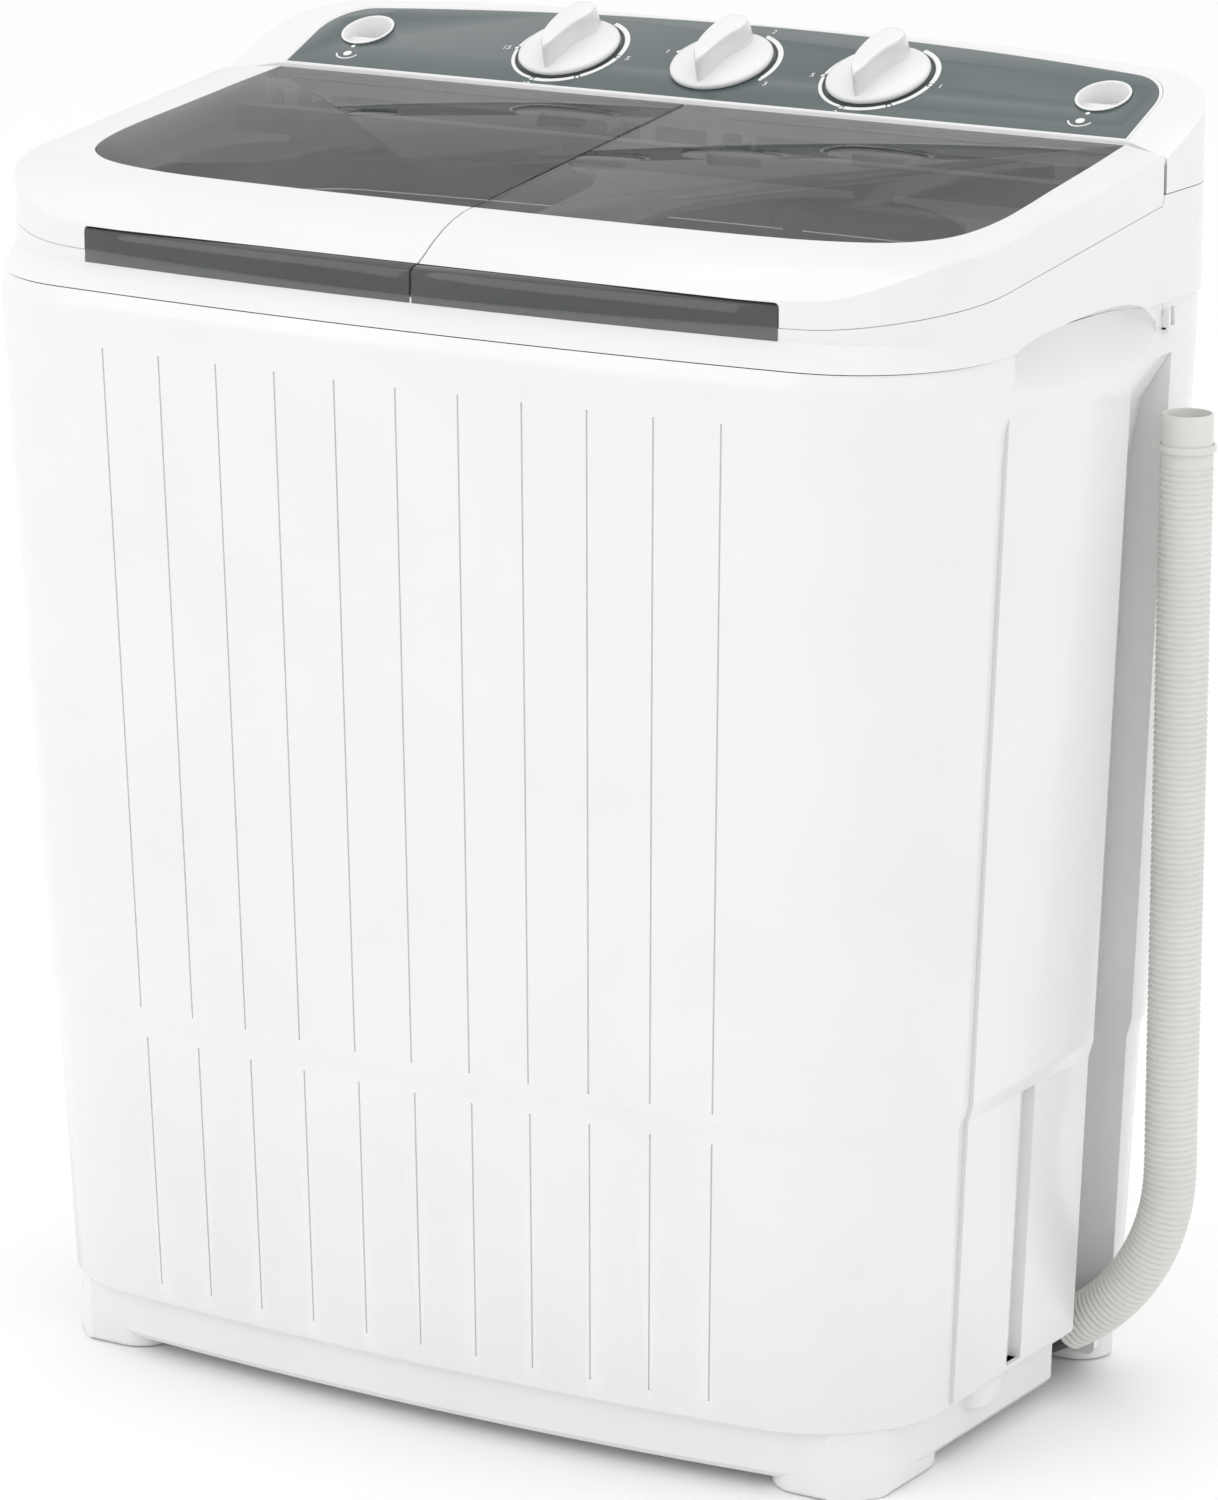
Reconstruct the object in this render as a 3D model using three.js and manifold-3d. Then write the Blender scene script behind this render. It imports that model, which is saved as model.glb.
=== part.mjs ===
// A portable twin tub washer: a wash tub with a pulsator on the left, a spin basket on the right,
// two lids side by side, a raised control housing at the rear and a drain hose on the right side.
// Millimetres, +Z up, front towards -Y. Lengths along Y are first given as a distance from the
// front of the cabinet, and the inner group moves them so that the origin is under the middle.
import * as THREE from "three";
import { mergeVertices } from "three/addons/utils/BufferGeometryUtils.js";
import Module from "manifold-3d";

const wasm = await Module();
wasm.setup();

// Driving dimensions
const WIDTH = 750;
const DEPTH = 467;
const GAP = 0.3; // between pieces that touch
const WALL = 3;
const CABINET_BOTTOM = 48;
const STEP_LOW = 246; // the bevelled step between the lower and the upper section
const STEP_HIGH = 257.5;
const STEP_INSET = 3;
const TAPER_START = 726; // the cabinet narrows downwards from this height
const SIDE_TAPER = 0.0405; // half width lost per mm of height
const FRONT_TAPER = 0.0282;
const REAR_TAPER = 0.0315;
const CABINET_TOP = 757;
const FRONT_RADIUS = 100;
const REAR_RADIUS = 60;
const FRONT_BOW = 22; // how far the front bulges over the half width
const REAR_BOW = 24;

const LID_SLOPE = 0.12; // the lids fall towards the front
const LID_REAR = 363;
const LID_REAR_HEIGHT = 857;
const LID_BREAK = 93; // here the lid turns down towards its grip
const LID_FRONT = 28;
const LID_FRONT_HEIGHT = 796.5;
const SEAM_HEIGHT = 783; // lower edge of the lids, at the front
const SEAM_SLOPE = 0.1155;
const HINGE_Y = 357;
const HINGE_Z = 851.3;
const HINGE_RADIUS = 3.4;
const GRIP_HALF_WIDTH = 267;

const HOUSING_FRONT = 365.5;
const HOUSING_BOTTOM = 831;
const FASCIA_TILT = THREE.MathUtils.degToRad(23);
const FASCIA_FRONT_HEIGHT = 859.3;
const KNOB_SPACING = 124;
const KNOB_Y = 411;
const INLET_X = 295;
const INLET_Y = 412.5;
const INLET_RADIUS = 18.5;

const WASH_X = -175;
const WASH_Y = 205;
const SPIN_X = 178;
const SPIN_Y = 195;
const TUB_BOTTOM = 300;

const HOSE_RADIUS = 18;
const HOSE_X = 396.5;
const HOSE_Y = 345;
const HOSE_BEND = 144;
const HOSE_BEND_TOP = 165;
const HOSE_BEND_ANGLE = THREE.MathUtils.degToRad(62);
const HOSE_CUFF_BOTTOM = 651;
const CHANNEL_FRONT = 309;
const CHANNEL_REAR = 365;
const CHANNEL_DEPTH = 44;
const CHANNEL_TOP = 700;

// Materials, each its own short function
const plastic = (color, roughness) => new THREE.MeshStandardMaterial({ color, roughness, metalness: 0 });
const glossWhite = () => plastic(0xeeeeee, 0.28);
const satinWhite = () => plastic(0xe4e4e2, 0.45);
const fasciaGrey = () => plastic(0x5f6b6c, 0.18);
const hosePlastic = () => plastic(0xe6e4df, 0.5);
const blackRubber = () => plastic(0x202224, 0.8);
const darkPlastic = () => plastic(0x33373a, 0.5);
const metal = (color, roughness) => new THREE.MeshStandardMaterial({ color, roughness, metalness: 0.9 });
const steel = () => metal(0xb9bcc0, 0.35);
const castMetal = () => metal(0x8b8f94, 0.5);
const tintedClear = () =>
  new THREE.MeshStandardMaterial({ color: 0x4a5254, roughness: 0.08, transparent: true, opacity: 0.5 });

// Booleans: a geometry becomes a manifold solid and comes back as a geometry
function solid(geometry) {
  const bare = geometry.clone();
  bare.deleteAttribute("normal");
  bare.deleteAttribute("uv");
  const merged = mergeVertices(bare, 1e-4);
  return new wasm.Manifold(
    new wasm.Mesh({
      numProp: 3,
      vertProperties: new Float32Array(merged.attributes.position.array),
      triVerts: new Uint32Array(merged.index.array),
    }),
  );
}

function geometryOf(body) {
  const mesh = body.getMesh();
  const geometry = new THREE.BufferGeometry();
  geometry.setAttribute("position", new THREE.BufferAttribute(mesh.vertProperties, 3));
  geometry.setIndex(new THREE.BufferAttribute(mesh.triVerts, 1));
  geometry.computeVertexNormals();
  return geometry;
}

const join = (first, ...rest) => rest.reduce((a, b) => a.add(b), first);
const cut = (first, ...rest) => rest.reduce((a, b) => a.subtract(b), first);

// A box from its low corner to its high corner
function block(x0, y0, z0, x1, y1, z1) {
  const box = new THREE.BoxGeometry(x1 - x0, y1 - y0, z1 - z0);
  return solid(box.translate((x0 + x1) / 2, (y0 + y1) / 2, (z0 + z1) / 2));
}

// A solid of revolution about a vertical axis: points are [radius, height] pairs, closed on the axis
// or on themselves, listed from the bottom up on the outside
function turned(x, y, points, sides = 24) {
  const profile = points.map(([r, z]) => new THREE.Vector2(r, z));
  if (points[0][0] > 0) profile.push(profile[0].clone());
  const lathe = new THREE.LatheGeometry(profile, sides);
  return solid(lathe.rotateX(Math.PI / 2).translate(x, y, 0));
}

const cylinder = (x, y, z0, z1, radius, sides = 24) =>
  turned(x, y, [[0, z0], [radius, z0], [radius, z1], [0, z1]], sides);
const ring = (x, y, z0, z1, inner, outer, sides = 24) =>
  turned(x, y, [[inner, z0], [outer, z0], [outer, z1], [inner, z1]], sides);

// A cylinder along X
function axle(x0, x1, y, z, radius, sides = 16) {
  const rod = new THREE.CylinderGeometry(radius, radius, x1 - x0, sides);
  return solid(rod.rotateZ(Math.PI / 2).translate((x0 + x1) / 2, y, z));
}

// A solid through stacked outlines: each layer is { z, outline }, all with the same point count
function loft(layers) {
  const count = layers[0].outline.length;
  const positions = layers.flatMap(({ z, outline }) => outline.flatMap((p) => [p.x, p.y, z]));
  const index = [];
  for (let k = 0; k + 1 < layers.length; k++) {
    for (let i = 0; i < count; i++) {
      const j = (i + 1) % count;
      const [a, b, c, d] = [k * count + i, k * count + j, (k + 1) * count + j, (k + 1) * count + i];
      index.push(a, b, c, a, c, d);
    }
  }
  const lid = THREE.ShapeUtils.triangulateShape(layers[0].outline, []);
  const top = (layers.length - 1) * count;
  for (const [a, b, c] of lid) {
    index.push(a, c, b);
    index.push(top + a, top + b, top + c);
  }
  const geometry = new THREE.BufferGeometry();
  geometry.setAttribute("position", new THREE.Float32BufferAttribute(positions, 3));
  geometry.setIndex(index);
  return solid(geometry);
}

function arc(outline, x, y, radius, fromDegrees, steps) {
  for (let i = 0; i <= steps; i++) {
    const a = THREE.MathUtils.degToRad(fromDegrees + (90 * i) / steps);
    outline.push(new THREE.Vector2(x + radius * Math.cos(a), y + radius * Math.sin(a)));
  }
}

// Plan outline of the machine, anticlockwise: bowed front, round corners, bowed rear
function plan(halfWidth, front, rear, inset = 0, rearRadius = REAR_RADIUS) {
  const half = halfWidth - inset;
  const frontRadius = FRONT_RADIUS - inset;
  const backRadius = Math.max(rearRadius - inset, 4);
  const frontX = half - frontRadius;
  const rearX = half - backRadius;
  const frontAt = (x) => front + inset + FRONT_BOW * (x / half) ** 2;
  const rearAt = (x) => rear - inset - REAR_BOW * (x / half) ** 2;
  const bowSteps = 6;
  const cornerSteps = 6;
  const outline = [];
  for (let i = 1; i < bowSteps; i++) {
    const x = -frontX + (2 * frontX * i) / bowSteps;
    outline.push(new THREE.Vector2(x, frontAt(x)));
  }
  arc(outline, frontX, frontAt(frontX) + frontRadius, frontRadius, -90, cornerSteps);
  arc(outline, rearX, rearAt(rearX) - backRadius, backRadius, 0, cornerSteps);
  for (let i = 1; i < bowSteps; i++) {
    const x = rearX - (2 * rearX * i) / bowSteps;
    outline.push(new THREE.Vector2(x, rearAt(x)));
  }
  arc(outline, -rearX, rearAt(rearX) - backRadius, backRadius, 90, cornerSteps);
  arc(outline, -frontX, frontAt(frontX) + frontRadius, frontRadius, 180, cornerSteps);
  return outline;
}

// The cabinet's outline at a height, which narrows towards the floor
const fall = (z) => Math.max(0, TAPER_START - z);
const halfWidthAt = (z) => WIDTH / 2 - 1.5 - SIDE_TAPER * fall(z);
const cabinetPlan = (z, inset = 0) =>
  plan(halfWidthAt(z), FRONT_TAPER * fall(z), DEPTH - 2 - REAR_TAPER * fall(z), inset);
const upperPlan = (inset = 0) => plan(WIDTH / 2, 0, DEPTH, inset);

// A rounded rectangle, anticlockwise
function roundedRect(x0, y0, x1, y1, radius, steps = 4) {
  const outline = [];
  arc(outline, x1 - radius, y0 + radius, radius, -90, steps);
  arc(outline, x1 - radius, y1 - radius, radius, 0, steps);
  arc(outline, x0 + radius, y1 - radius, radius, 90, steps);
  arc(outline, x0 + radius, y0 + radius, radius, 180, steps);
  return outline;
}

const prism = (outline, z0, z1) => loft([{ z: z0, outline }, { z: z1, outline }]);

// A side profile of [y, z] pairs, pushed along X from x0 to x1
function sideProfile(points, x0, x1) {
  const shape = new THREE.Shape(points.map(([y, z]) => new THREE.Vector2(y, z)));
  const slab = new THREE.ExtrudeGeometry(shape, { depth: x1 - x0, bevelEnabled: false });
  return solid(slab.applyMatrix4(new THREE.Matrix4().set(0, 0, 1, x0, 1, 0, 0, 0, 0, 1, 0, 0, 0, 0, 0, 1)));
}

// A solid rod of round section along a curve
function rodAlong(curve, radius, sides, steps) {
  const section = new THREE.Shape();
  for (let i = 0; i < sides; i++) {
    const a = (2 * Math.PI * i) / sides;
    const [u, v] = [radius * Math.cos(a), radius * Math.sin(a)];
    if (i) section.lineTo(u, v);
    else section.moveTo(u, v);
  }
  return solid(new THREE.ExtrudeGeometry(section, { steps, extrudePath: curve, bevelEnabled: false }));
}

const point = (x, y, z) => new THREE.Vector3(x, y, z);

// A coil spring about a vertical axis
function coil(x, y, z0, z1, radius, wire) {
  const turns = 3;
  const perTurn = 8;
  const points = [];
  for (let i = 0; i <= turns * perTurn; i++) {
    const a = (2 * Math.PI * i) / perTurn;
    points.push(point(x + radius * Math.cos(a), y + radius * Math.sin(a), z0 + ((z1 - z0) * i) / (turns * perTurn)));
  }
  return rodAlong(new THREE.CatmullRomCurve3(points), wire, 5, turns * perTurn);
}

const machine = new THREE.Group();
const body = new THREE.Group(); // holds the pieces, measured from the front of the cabinet
body.position.y = -DEPTH / 2;
machine.add(body);

function place(name, made, material) {
  const mesh = new THREE.Mesh(geometryOf(made), material);
  mesh.name = name;
  body.add(mesh);
}

// Outer cabinet: one moulded shell, open above and below, with a hose channel in the right side
// and a grip pocket high in each side
function cabinet() {
  const levels = [CABINET_BOTTOM, STEP_LOW, STEP_HIGH, TAPER_START, CABINET_TOP];
  const insetAt = (z) => (z <= STEP_LOW ? STEP_INSET : 0);
  const layers = (extra) =>
    levels.map((z, i) => {
      const past = extra && i === 0 ? -1 : extra && i === levels.length - 1 ? 1 : 0;
      return { z: z + past, outline: cabinetPlan(z, insetAt(z) + extra) };
    });
  const outer = loft(layers(0));
  const inner = loft(layers(WALL));
  const pocketWalls = join(channelSpace(WALL), gripSpace(1, WALL), gripSpace(-1, WALL));
  return cut(
    join(cut(outer, inner), outer.intersect(pocketWalls)),
    channelSpace(0),
    gripSpace(1, 0),
    gripSpace(-1, 0),
    sideSlot(),
    ...grooves(),
  );
}

// Narrow vent slot low in the right side
function sideSlot() {
  const [low, high] = [halfWidthAt(56), halfWidthAt(244)];
  const corners = [[-12, 213], [9, 213], [9, 233], [-12, 233]];
  const outline = (side) => corners.map(([x, y]) => new THREE.Vector2(side + x, y));
  return loft([{ z: 56, outline: outline(low) }, { z: 244, outline: outline(high) }]);
}

// Fine upright grooves in the front, in both sections
function grooves() {
  const [pitch, depth, width] = [48, 1, 2];
  const made = [];
  for (let i = -5; i <= 5; i++) {
    for (const [z0, z1, inset] of [[62, 240, STEP_INSET], [264, 720, 0]]) {
      const layers = [z0, z1].map((z) => {
        const half = halfWidthAt(z) - inset;
        const x = (i * pitch * half) / (WIDTH / 2);
        const y = FRONT_TAPER * fall(z) + inset + FRONT_BOW * (x / half) ** 2 + 0.3;
        return { z, outline: roundedRect(x - width / 2, y - 4, x + width / 2, y + depth, 0.3, 1) };
      });
      made.push(loft(layers));
    }
  }
  return made;
}

function channelSpace(grow) {
  const at = (z) => {
    const side = halfWidthAt(z);
    const [x0, x1] = [side - CHANNEL_DEPTH - grow, side + 20];
    return [
      new THREE.Vector2(x0, CHANNEL_FRONT - grow),
      new THREE.Vector2(x1, CHANNEL_FRONT - grow),
      new THREE.Vector2(x1, CHANNEL_REAR + grow),
      new THREE.Vector2(x0, CHANNEL_REAR + grow),
    ];
  };
  return loft([CABINET_BOTTOM - 1, CHANNEL_TOP + grow].map((z) => ({ z, outline: at(z) })));
}

const GRIP = { front: 146, rear: 300, bottom: 731, depth: 26 };

function gripSpace(side, grow) {
  const reach = WIDTH / 2 - GRIP.depth - grow;
  const [x0, x1] = side > 0 ? [reach, WIDTH / 2 + 5] : [-WIDTH / 2 - 5, -reach];
  return block(x0, GRIP.front - grow, GRIP.bottom - grow, x1, GRIP.rear + grow, CABINET_TOP + 2);
}

// Base: a floor plate in the cabinet's foot, a recessed plinth and four tall corner feet
const PLINTH_BOTTOM = 10;
const BASE_TOP = CABINET_BOTTOM + 6;

function baseFrame() {
  const seat = CABINET_BOTTOM - GAP; // the cabinet's wall stands on the feet
  const under = cabinetPlan(CABINET_BOTTOM, STEP_INSET + 0.5);
  const plate = prism(cabinetPlan(CABINET_BOTTOM, WALL + STEP_INSET + 1), seat - 2, BASE_TOP);
  const plinth = cut(
    prism(cabinetPlan(CABINET_BOTTOM, 14), PLINTH_BOTTOM, seat),
    prism(cabinetPlan(CABINET_BOTTOM, 18), PLINTH_BOTTOM - 1, seat - 1),
  );
  const feet = footPlaces().map(([x0, y0, x1, y1]) =>
    loft([
      { z: 0, outline: roundedRect(x0 + 3, y0 + 3, x1 - 3, y1 - 3, 26) },
      { z: 4, outline: roundedRect(x0, y0, x1, y1, 28) },
      { z: seat, outline: roundedRect(x0, y0, x1, y1, 28) },
    ]).intersect(prism(under, -1, seat)),
  );
  const hoseNotch = block(188, CHANNEL_FRONT - 4, -1, 400, CHANNEL_REAR + 4, BASE_TOP + 1);
  return cut(join(plate, plinth, ...feet), hoseNotch);
}

function footPlaces() {
  const places = [];
  for (const side of [-1, 1]) {
    for (const [y0, y1] of [[52, 165], [374, 436]]) {
      const xs = [side * 245, side * 327].sort((a, b) => a - b);
      places.push([xs[0], y0, xs[1], y1]);
    }
  }
  return places;
}

// Top deck: skirt, top plate with the two tub mouths and the grip strip's landing
const WASH_MOUTH = { x0: -338, y0: 72, x1: -14, y1: 312, radius: 60 };
const SPIN_MOUTH_RADIUS = 116;

// Where the lids meet the deck, from front to rear, as [y, z] pairs
const seamAt = (y) => SEAM_HEIGHT + SEAM_SLOPE * y;
const seamLine = (lift) => [
  [18, 774 + lift], [30, 782 + lift], [44, seamAt(44) + lift], [340, seamAt(340) + lift],
];

function topDeck() {
  const bottom = CABINET_TOP + GAP;
  const topPlate = 9;
  const wide = [-WIDTH / 2 - 2, WIDTH / 2 + 2];
  const shelf = HOUSING_BOTTOM - GAP;
  const below = [[-2, bottom - 1], [DEPTH + 2, bottom - 1], [DEPTH + 2, shelf], [346, shelf]];
  const outer = prism(upperPlan(), bottom, 840).intersect(
    sideProfile([...below, ...seamLine(0).reverse(), [-2, 774]], ...wide),
  );
  const under = [[-2, bottom - 2], [DEPTH + 2, bottom - 2], [DEPTH + 2, 845], [346 - WALL, 845]];
  const inner = prism(upperPlan(WALL), bottom - 1, 844).intersect(
    sideProfile([...under, ...seamLine(-topPlate).reverse(), [-2, 765]], ...wide),
  );
  const ledge = block(-WIDTH / 2 + 1.5, 334, 806, WIDTH / 2 - 1.5, 362, 816);
  const [near, far] = [HINGE_Y - HINGE_RADIUS, HINGE_Y + HINGE_RADIUS];
  const knuckles = hingeKnuckleSpans().map(([x0, x1]) =>
    join(block(x0, near, 808, x1, far, HINGE_Z), axle(x0, x1, HINGE_Y, HINGE_Z, HINGE_RADIUS)),
  );
  const mouths = [
    prism(roundedRect(WASH_MOUTH.x0, WASH_MOUTH.y0, WASH_MOUTH.x1, WASH_MOUTH.y1, WASH_MOUTH.radius), 740, 850),
    cylinder(SPIN_X, SPIN_Y, 740, 850, SPIN_MOUTH_RADIUS, 40),
  ];
  const made = cut(join(cut(outer, inner), ledge, ...knuckles), ...mouths, hingeBore());
  const frontSlope = sideProfile([[-2, 740], [0.5, bottom], [2.5, 764], [8, 770], [19, 776], [-2, 776]], ...wide);
  return cut(made, frontSlope);
}

const hingeBore = () => axle(-WIDTH / 2 + 30, WIDTH / 2 - 30, HINGE_Y, HINGE_Z, 1.9);

// Each lid turns on knuckles of the deck; the lid's own ears stand just outside them
function hingeKnuckleSpans() {
  return [[-330, -318], [-60, -48], [48, 60], [318, 330]];
}

// Lids: a white frame round a tinted window, with a clear grip strip along the front edge
const lidTop = (y) => LID_REAR_HEIGHT - LID_SLOPE * (LID_REAR - y);
const LID_SKIN = 2.6;
const MIDDLE_GAP = 1.5; // half of the gap between the two lids

function lidSolid() {
  const profile = [
    ...seamLine(GAP), [344.5, 832], [345.5, 844], [LID_REAR, 852], [LID_REAR, lidTop(LID_REAR)],
    [LID_BREAK, lidTop(LID_BREAK)], [60, 816], [LID_FRONT, LID_FRONT_HEIGHT], [20, 793],
  ];
  return sideProfile(profile, -WIDTH / 2, WIDTH / 2).intersect(lidPlan(0));
}

// Both lids' plan as an upright solid: the deck's outline with its rear corners cut off slantwise
function lidPlan(inset) {
  const [slantX, slantY] = [339.5 - inset, 347.5 - inset];
  const rear = LID_REAR - inset;
  const side = WIDTH / 2 + 2;
  const slanted = [[-side, -5], [side, -5], [side, slantY], [slantX, rear], [-slantX, rear], [-side, slantY]];
  const trimmed = prism(slanted.map(([x, y]) => new THREE.Vector2(x, y)), 740, 880);
  return prism(upperPlan(inset), 750, 870).intersect(trimmed);
}

function lidHollow() {
  const profile = [
    [18 + LID_SKIN, 765], [340, 765], [342, 832], [343, 845.5], [LID_REAR + 5, 853.5],
    [LID_REAR + 5, lidTop(LID_REAR + 5) - LID_SKIN], [LID_BREAK, lidTop(LID_BREAK) - LID_SKIN],
    [61, 813.4], [LID_FRONT + 1, LID_FRONT_HEIGHT - LID_SKIN], [20 + LID_SKIN, 790],
  ];
  const cutter = sideProfile(profile, -WIDTH / 2, WIDTH / 2);
  return cutter.intersect(lidPlan(LID_SKIN));
}

// A layer of the lids' sloping top, between two heights measured from its surface
function lidSheet(low, high) {
  const [y0, y1] = [LID_BREAK, LID_REAR + 1];
  const profile = [[y0, lidTop(y0) + low], [y1, lidTop(y1) + low], [y1, lidTop(y1) + high], [y0, lidTop(y0) + high]];
  return sideProfile(profile, -WIDTH / 2, WIDTH / 2);
}

const sideSpan = (side) => (side < 0 ? [-WIDTH / 2 - 1, -MIDDLE_GAP] : [MIDDLE_GAP, WIDTH / 2 + 1]);

// The window's outline on the lid: its outer front corner is a long curve
function windowPlan(side, inset) {
  const [inner, outer, front, rear] = [1.8 + inset, 343 - inset, 94.5 + inset, LID_REAR - 0.8 - inset];
  const [longX, longY] = [110, 70];
  const outline = [new THREE.Vector2(inner, front)];
  for (let i = 0; i <= 8; i++) {
    const a = (Math.PI / 2) * (i / 8 - 1);
    outline.push(new THREE.Vector2(outer - longX + longX * Math.cos(a), front + longY + longY * Math.sin(a)));
  }
  outline.push(new THREE.Vector2(outer - 5, rear), new THREE.Vector2(inner, rear));
  return side > 0 ? outline : outline.map((p) => new THREE.Vector2(-p.x, p.y)).reverse();
}

// Space taken by the grip strip at the front of a lid
function gripStripSpace(side, grow) {
  const [inner, outer] = [MIDDLE_GAP - 2 * grow, GRIP_HALF_WIDTH + grow];
  return sideProfile(
    [[0, 773 - grow], [44 + grow, 784 - grow], [44 + grow, 790], [66 + grow, 812], [66 + grow, 830], [0, 830]],
    side < 0 ? -outer : inner,
    side < 0 ? -inner : outer,
  );
}

function lidFrame(side) {
  const [x0, x1] = sideSpan(side);
  const half = block(x0, -5, 700, x1, DEPTH, 900);
  const skin = cut(lidSolid(), lidHollow());
  const innerX = side < 0 ? -MIDDLE_GAP - 3 : MIDDLE_GAP;
  const innerWall = lidSolid().intersect(block(innerX, 20, 760, innerX + 3, 343, 870));
  const [near, far] = [HINGE_Y - HINGE_RADIUS, HINGE_Y + HINGE_RADIUS];
  const ears = earSpans(side).map(([a, b]) =>
    join(axle(a, b, HINGE_Y, HINGE_Z, HINGE_RADIUS), block(a, near, HINGE_Z, b, far, HINGE_Z + 2)),
  );
  const barSpan = side < 0 ? [-341, -2] : [2, 341];
  const underGlass = lidSheet(-4.5, -1).intersect(block(barSpan[0], 338, 700, barSpan[1], LID_REAR, 900));
  const made = join(skin, innerWall, underGlass, ...ears).intersect(half);
  const opening = prism(windowPlan(side, 3.2), 780, 880).intersect(block(-400, 0, 700, 400, 340, 900));
  const rabbet = prism(windowPlan(side, 0), 780, 880).intersect(lidSheet(-1.5, 8));
  const notches = hingeKnuckleSpans().map(([a, b]) =>
    block(a - 0.5, 338, 800, b + 0.5, LID_REAR + 1, HINGE_Z + HINGE_RADIUS + 0.2),
  );
  return cut(made, opening, rabbet, gripStripSpace(side, GAP), hingeBore(), ...notches);
}

function earSpans(side) {
  const spans = [[36, 47.5], [60.5, 72], [306, 317.5], [330.5, 342]];
  return side < 0 ? spans.map(([a, b]) => [-b, -a]) : spans;
}

const lidWindow = (side) => prism(windowPlan(side, GAP), 780, 880).intersect(lidSheet(-1.5 + GAP, 0));

function gripStrip(side) {
  const strip = gripStripSpace(side, 0).intersect(lidSolid());
  const fingerSpace = sideProfile([[10, 770], [41, 782], [41, 787], [24, 786], [24, 776], [10, 774]], -400, 400);
  return cut(strip, fingerSpace);
}

const lidPin = (side) => axle(...(side < 0 ? [-343, -35] : [35, 343]), HINGE_Y, HINGE_Z, 1.6, 12);

// Control housing: a moulded hood with a sloping top, open below, recessed for the fascia
const fasciaHeight = (y) => FASCIA_FRONT_HEIGHT + Math.tan(FASCIA_TILT) * (y - HOUSING_FRONT);
const FASCIA_REAR = 461;

const SHELF_TOP = 835; // the hood's lip reaches forward below the lids' rear edge

function hoodProfile(inset) {
  const low = HOUSING_BOTTOM - (inset ? 1 : 0);
  return [
    [347 + inset, low], [DEPTH - inset, low], [DEPTH - inset, fasciaHeight(FASCIA_REAR) - 5 - inset],
    [FASCIA_REAR, fasciaHeight(FASCIA_REAR) - inset], [347 + inset, fasciaHeight(347) - inset],
  ];
}

function fasciaPlan(inset) {
  const [half, front, rear] = [337 - inset, HOUSING_FRONT + inset, FASCIA_REAR - inset];
  const rearAt = (x) => rear - 20 * (x / half) ** 2;
  const outline = [new THREE.Vector2(-half, front), new THREE.Vector2(half, front)];
  arc(outline, half - 34, rearAt(half - 34) - 34, 34, 0, 6);
  for (let i = 1; i < 8; i++) {
    const x = (half - 34) * (1 - (2 * i) / 8);
    outline.push(new THREE.Vector2(x, rearAt(x)));
  }
  arc(outline, 34 - half, rearAt(half - 34) - 34, 34, 90, 6);
  return outline;
}

// Something drilled or mounted square to the fascia at a place on it
function onFascia(made, x, y) {
  const matrix = new THREE.Matrix4()
    .makeRotationX(FASCIA_TILT)
    .premultiply(new THREE.Matrix4().makeTranslation(x, y, fasciaHeight(y)));
  return made.transform(matrix.elements);
}

const knobPlaces = () => [-1, 0, 1].map((i) => i * KNOB_SPACING);
const inletPlaces = () => [-INLET_X, INLET_X];
const knobHoles = (radius) => knobPlaces().map((x) => onFascia(cylinder(0, 0, -20, 20, radius, 16), x, KNOB_Y));
const inletHoles = (radius) => inletPlaces().map((x) => onFascia(cylinder(0, 0, -60, 20, radius, 24), x, INLET_Y));

function fasciaSheet(low, high) {
  const [y0, y1] = [HOUSING_FRONT - 5, DEPTH + 5];
  return sideProfile(
    [[y0, fasciaHeight(y0) + low], [y1, fasciaHeight(y1) + low], [y1, fasciaHeight(y1) + high],
      [y0, fasciaHeight(y0) + high]],
    -WIDTH / 2,
    WIDTH / 2,
  );
}

// The hood's cheeks reach forward beside the lids' slanted rear corners
function cheekSpace(inset) {
  const front = HOUSING_FRONT + inset;
  const [slantX, slantY] = [341 + inset, 350.3 + inset];
  return prism(
    [[-WIDTH / 2 - 2, slantY], [-slantX, front], [slantX, front], [WIDTH / 2 + 2, slantY], [WIDTH / 2 + 2, 480],
      [-WIDTH / 2 - 2, 480]].map(([x, y]) => new THREE.Vector2(x, y)),
    SHELF_TOP - inset - 2,
    930,
  );
}

function hood(inset) {
  const shape = sideProfile(hoodProfile(inset), -WIDTH / 2, WIDTH / 2).intersect(prism(upperPlan(inset), 820, 920));
  const shelf = block(-WIDTH / 2, 300, 800, WIDTH / 2, 480, SHELF_TOP - inset);
  return shape.intersect(join(cheekSpace(inset), shelf));
}

// Room that a lid's slanted rear corners sweep as it opens
function lidSwing(grow) {
  const steps = 6;
  const stepAngle = THREE.MathUtils.degToRad(92) / steps;
  const turnedBy = (made, angle) => {
    const about = new THREE.Matrix4().makeTranslation(0, HINGE_Y, HINGE_Z);
    const matrix = about.clone().multiply(new THREE.Matrix4().makeRotationX(-angle)).multiply(about.invert());
    return made.transform(matrix.elements);
  };
  const top = (y) => lidTop(y) + grow;
  const slab = sideProfile([[340, 848 - grow], [370, 848 - grow], [370, top(370)], [340, top(340)]], -400, 400);
  const outline = [[338, 340], [376, 340], [376, 347.1 + 1.1 * grow], [339.7, LID_REAR + grow], [338, LID_REAR + grow]];
  const made = [];
  for (const side of [-1, 1]) {
    const points = outline.map(([x, y]) => new THREE.Vector2(side * x, y));
    const corner = slab.intersect(prism(side > 0 ? points : points.reverse(), 820, 880));
    for (let i = 0; i < steps; i++) {
      made.push(wasm.Manifold.hull([i, i + 1].map((k) => turnedBy(corner, k * stepAngle))));
    }
  }
  return join(...made);
}

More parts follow.
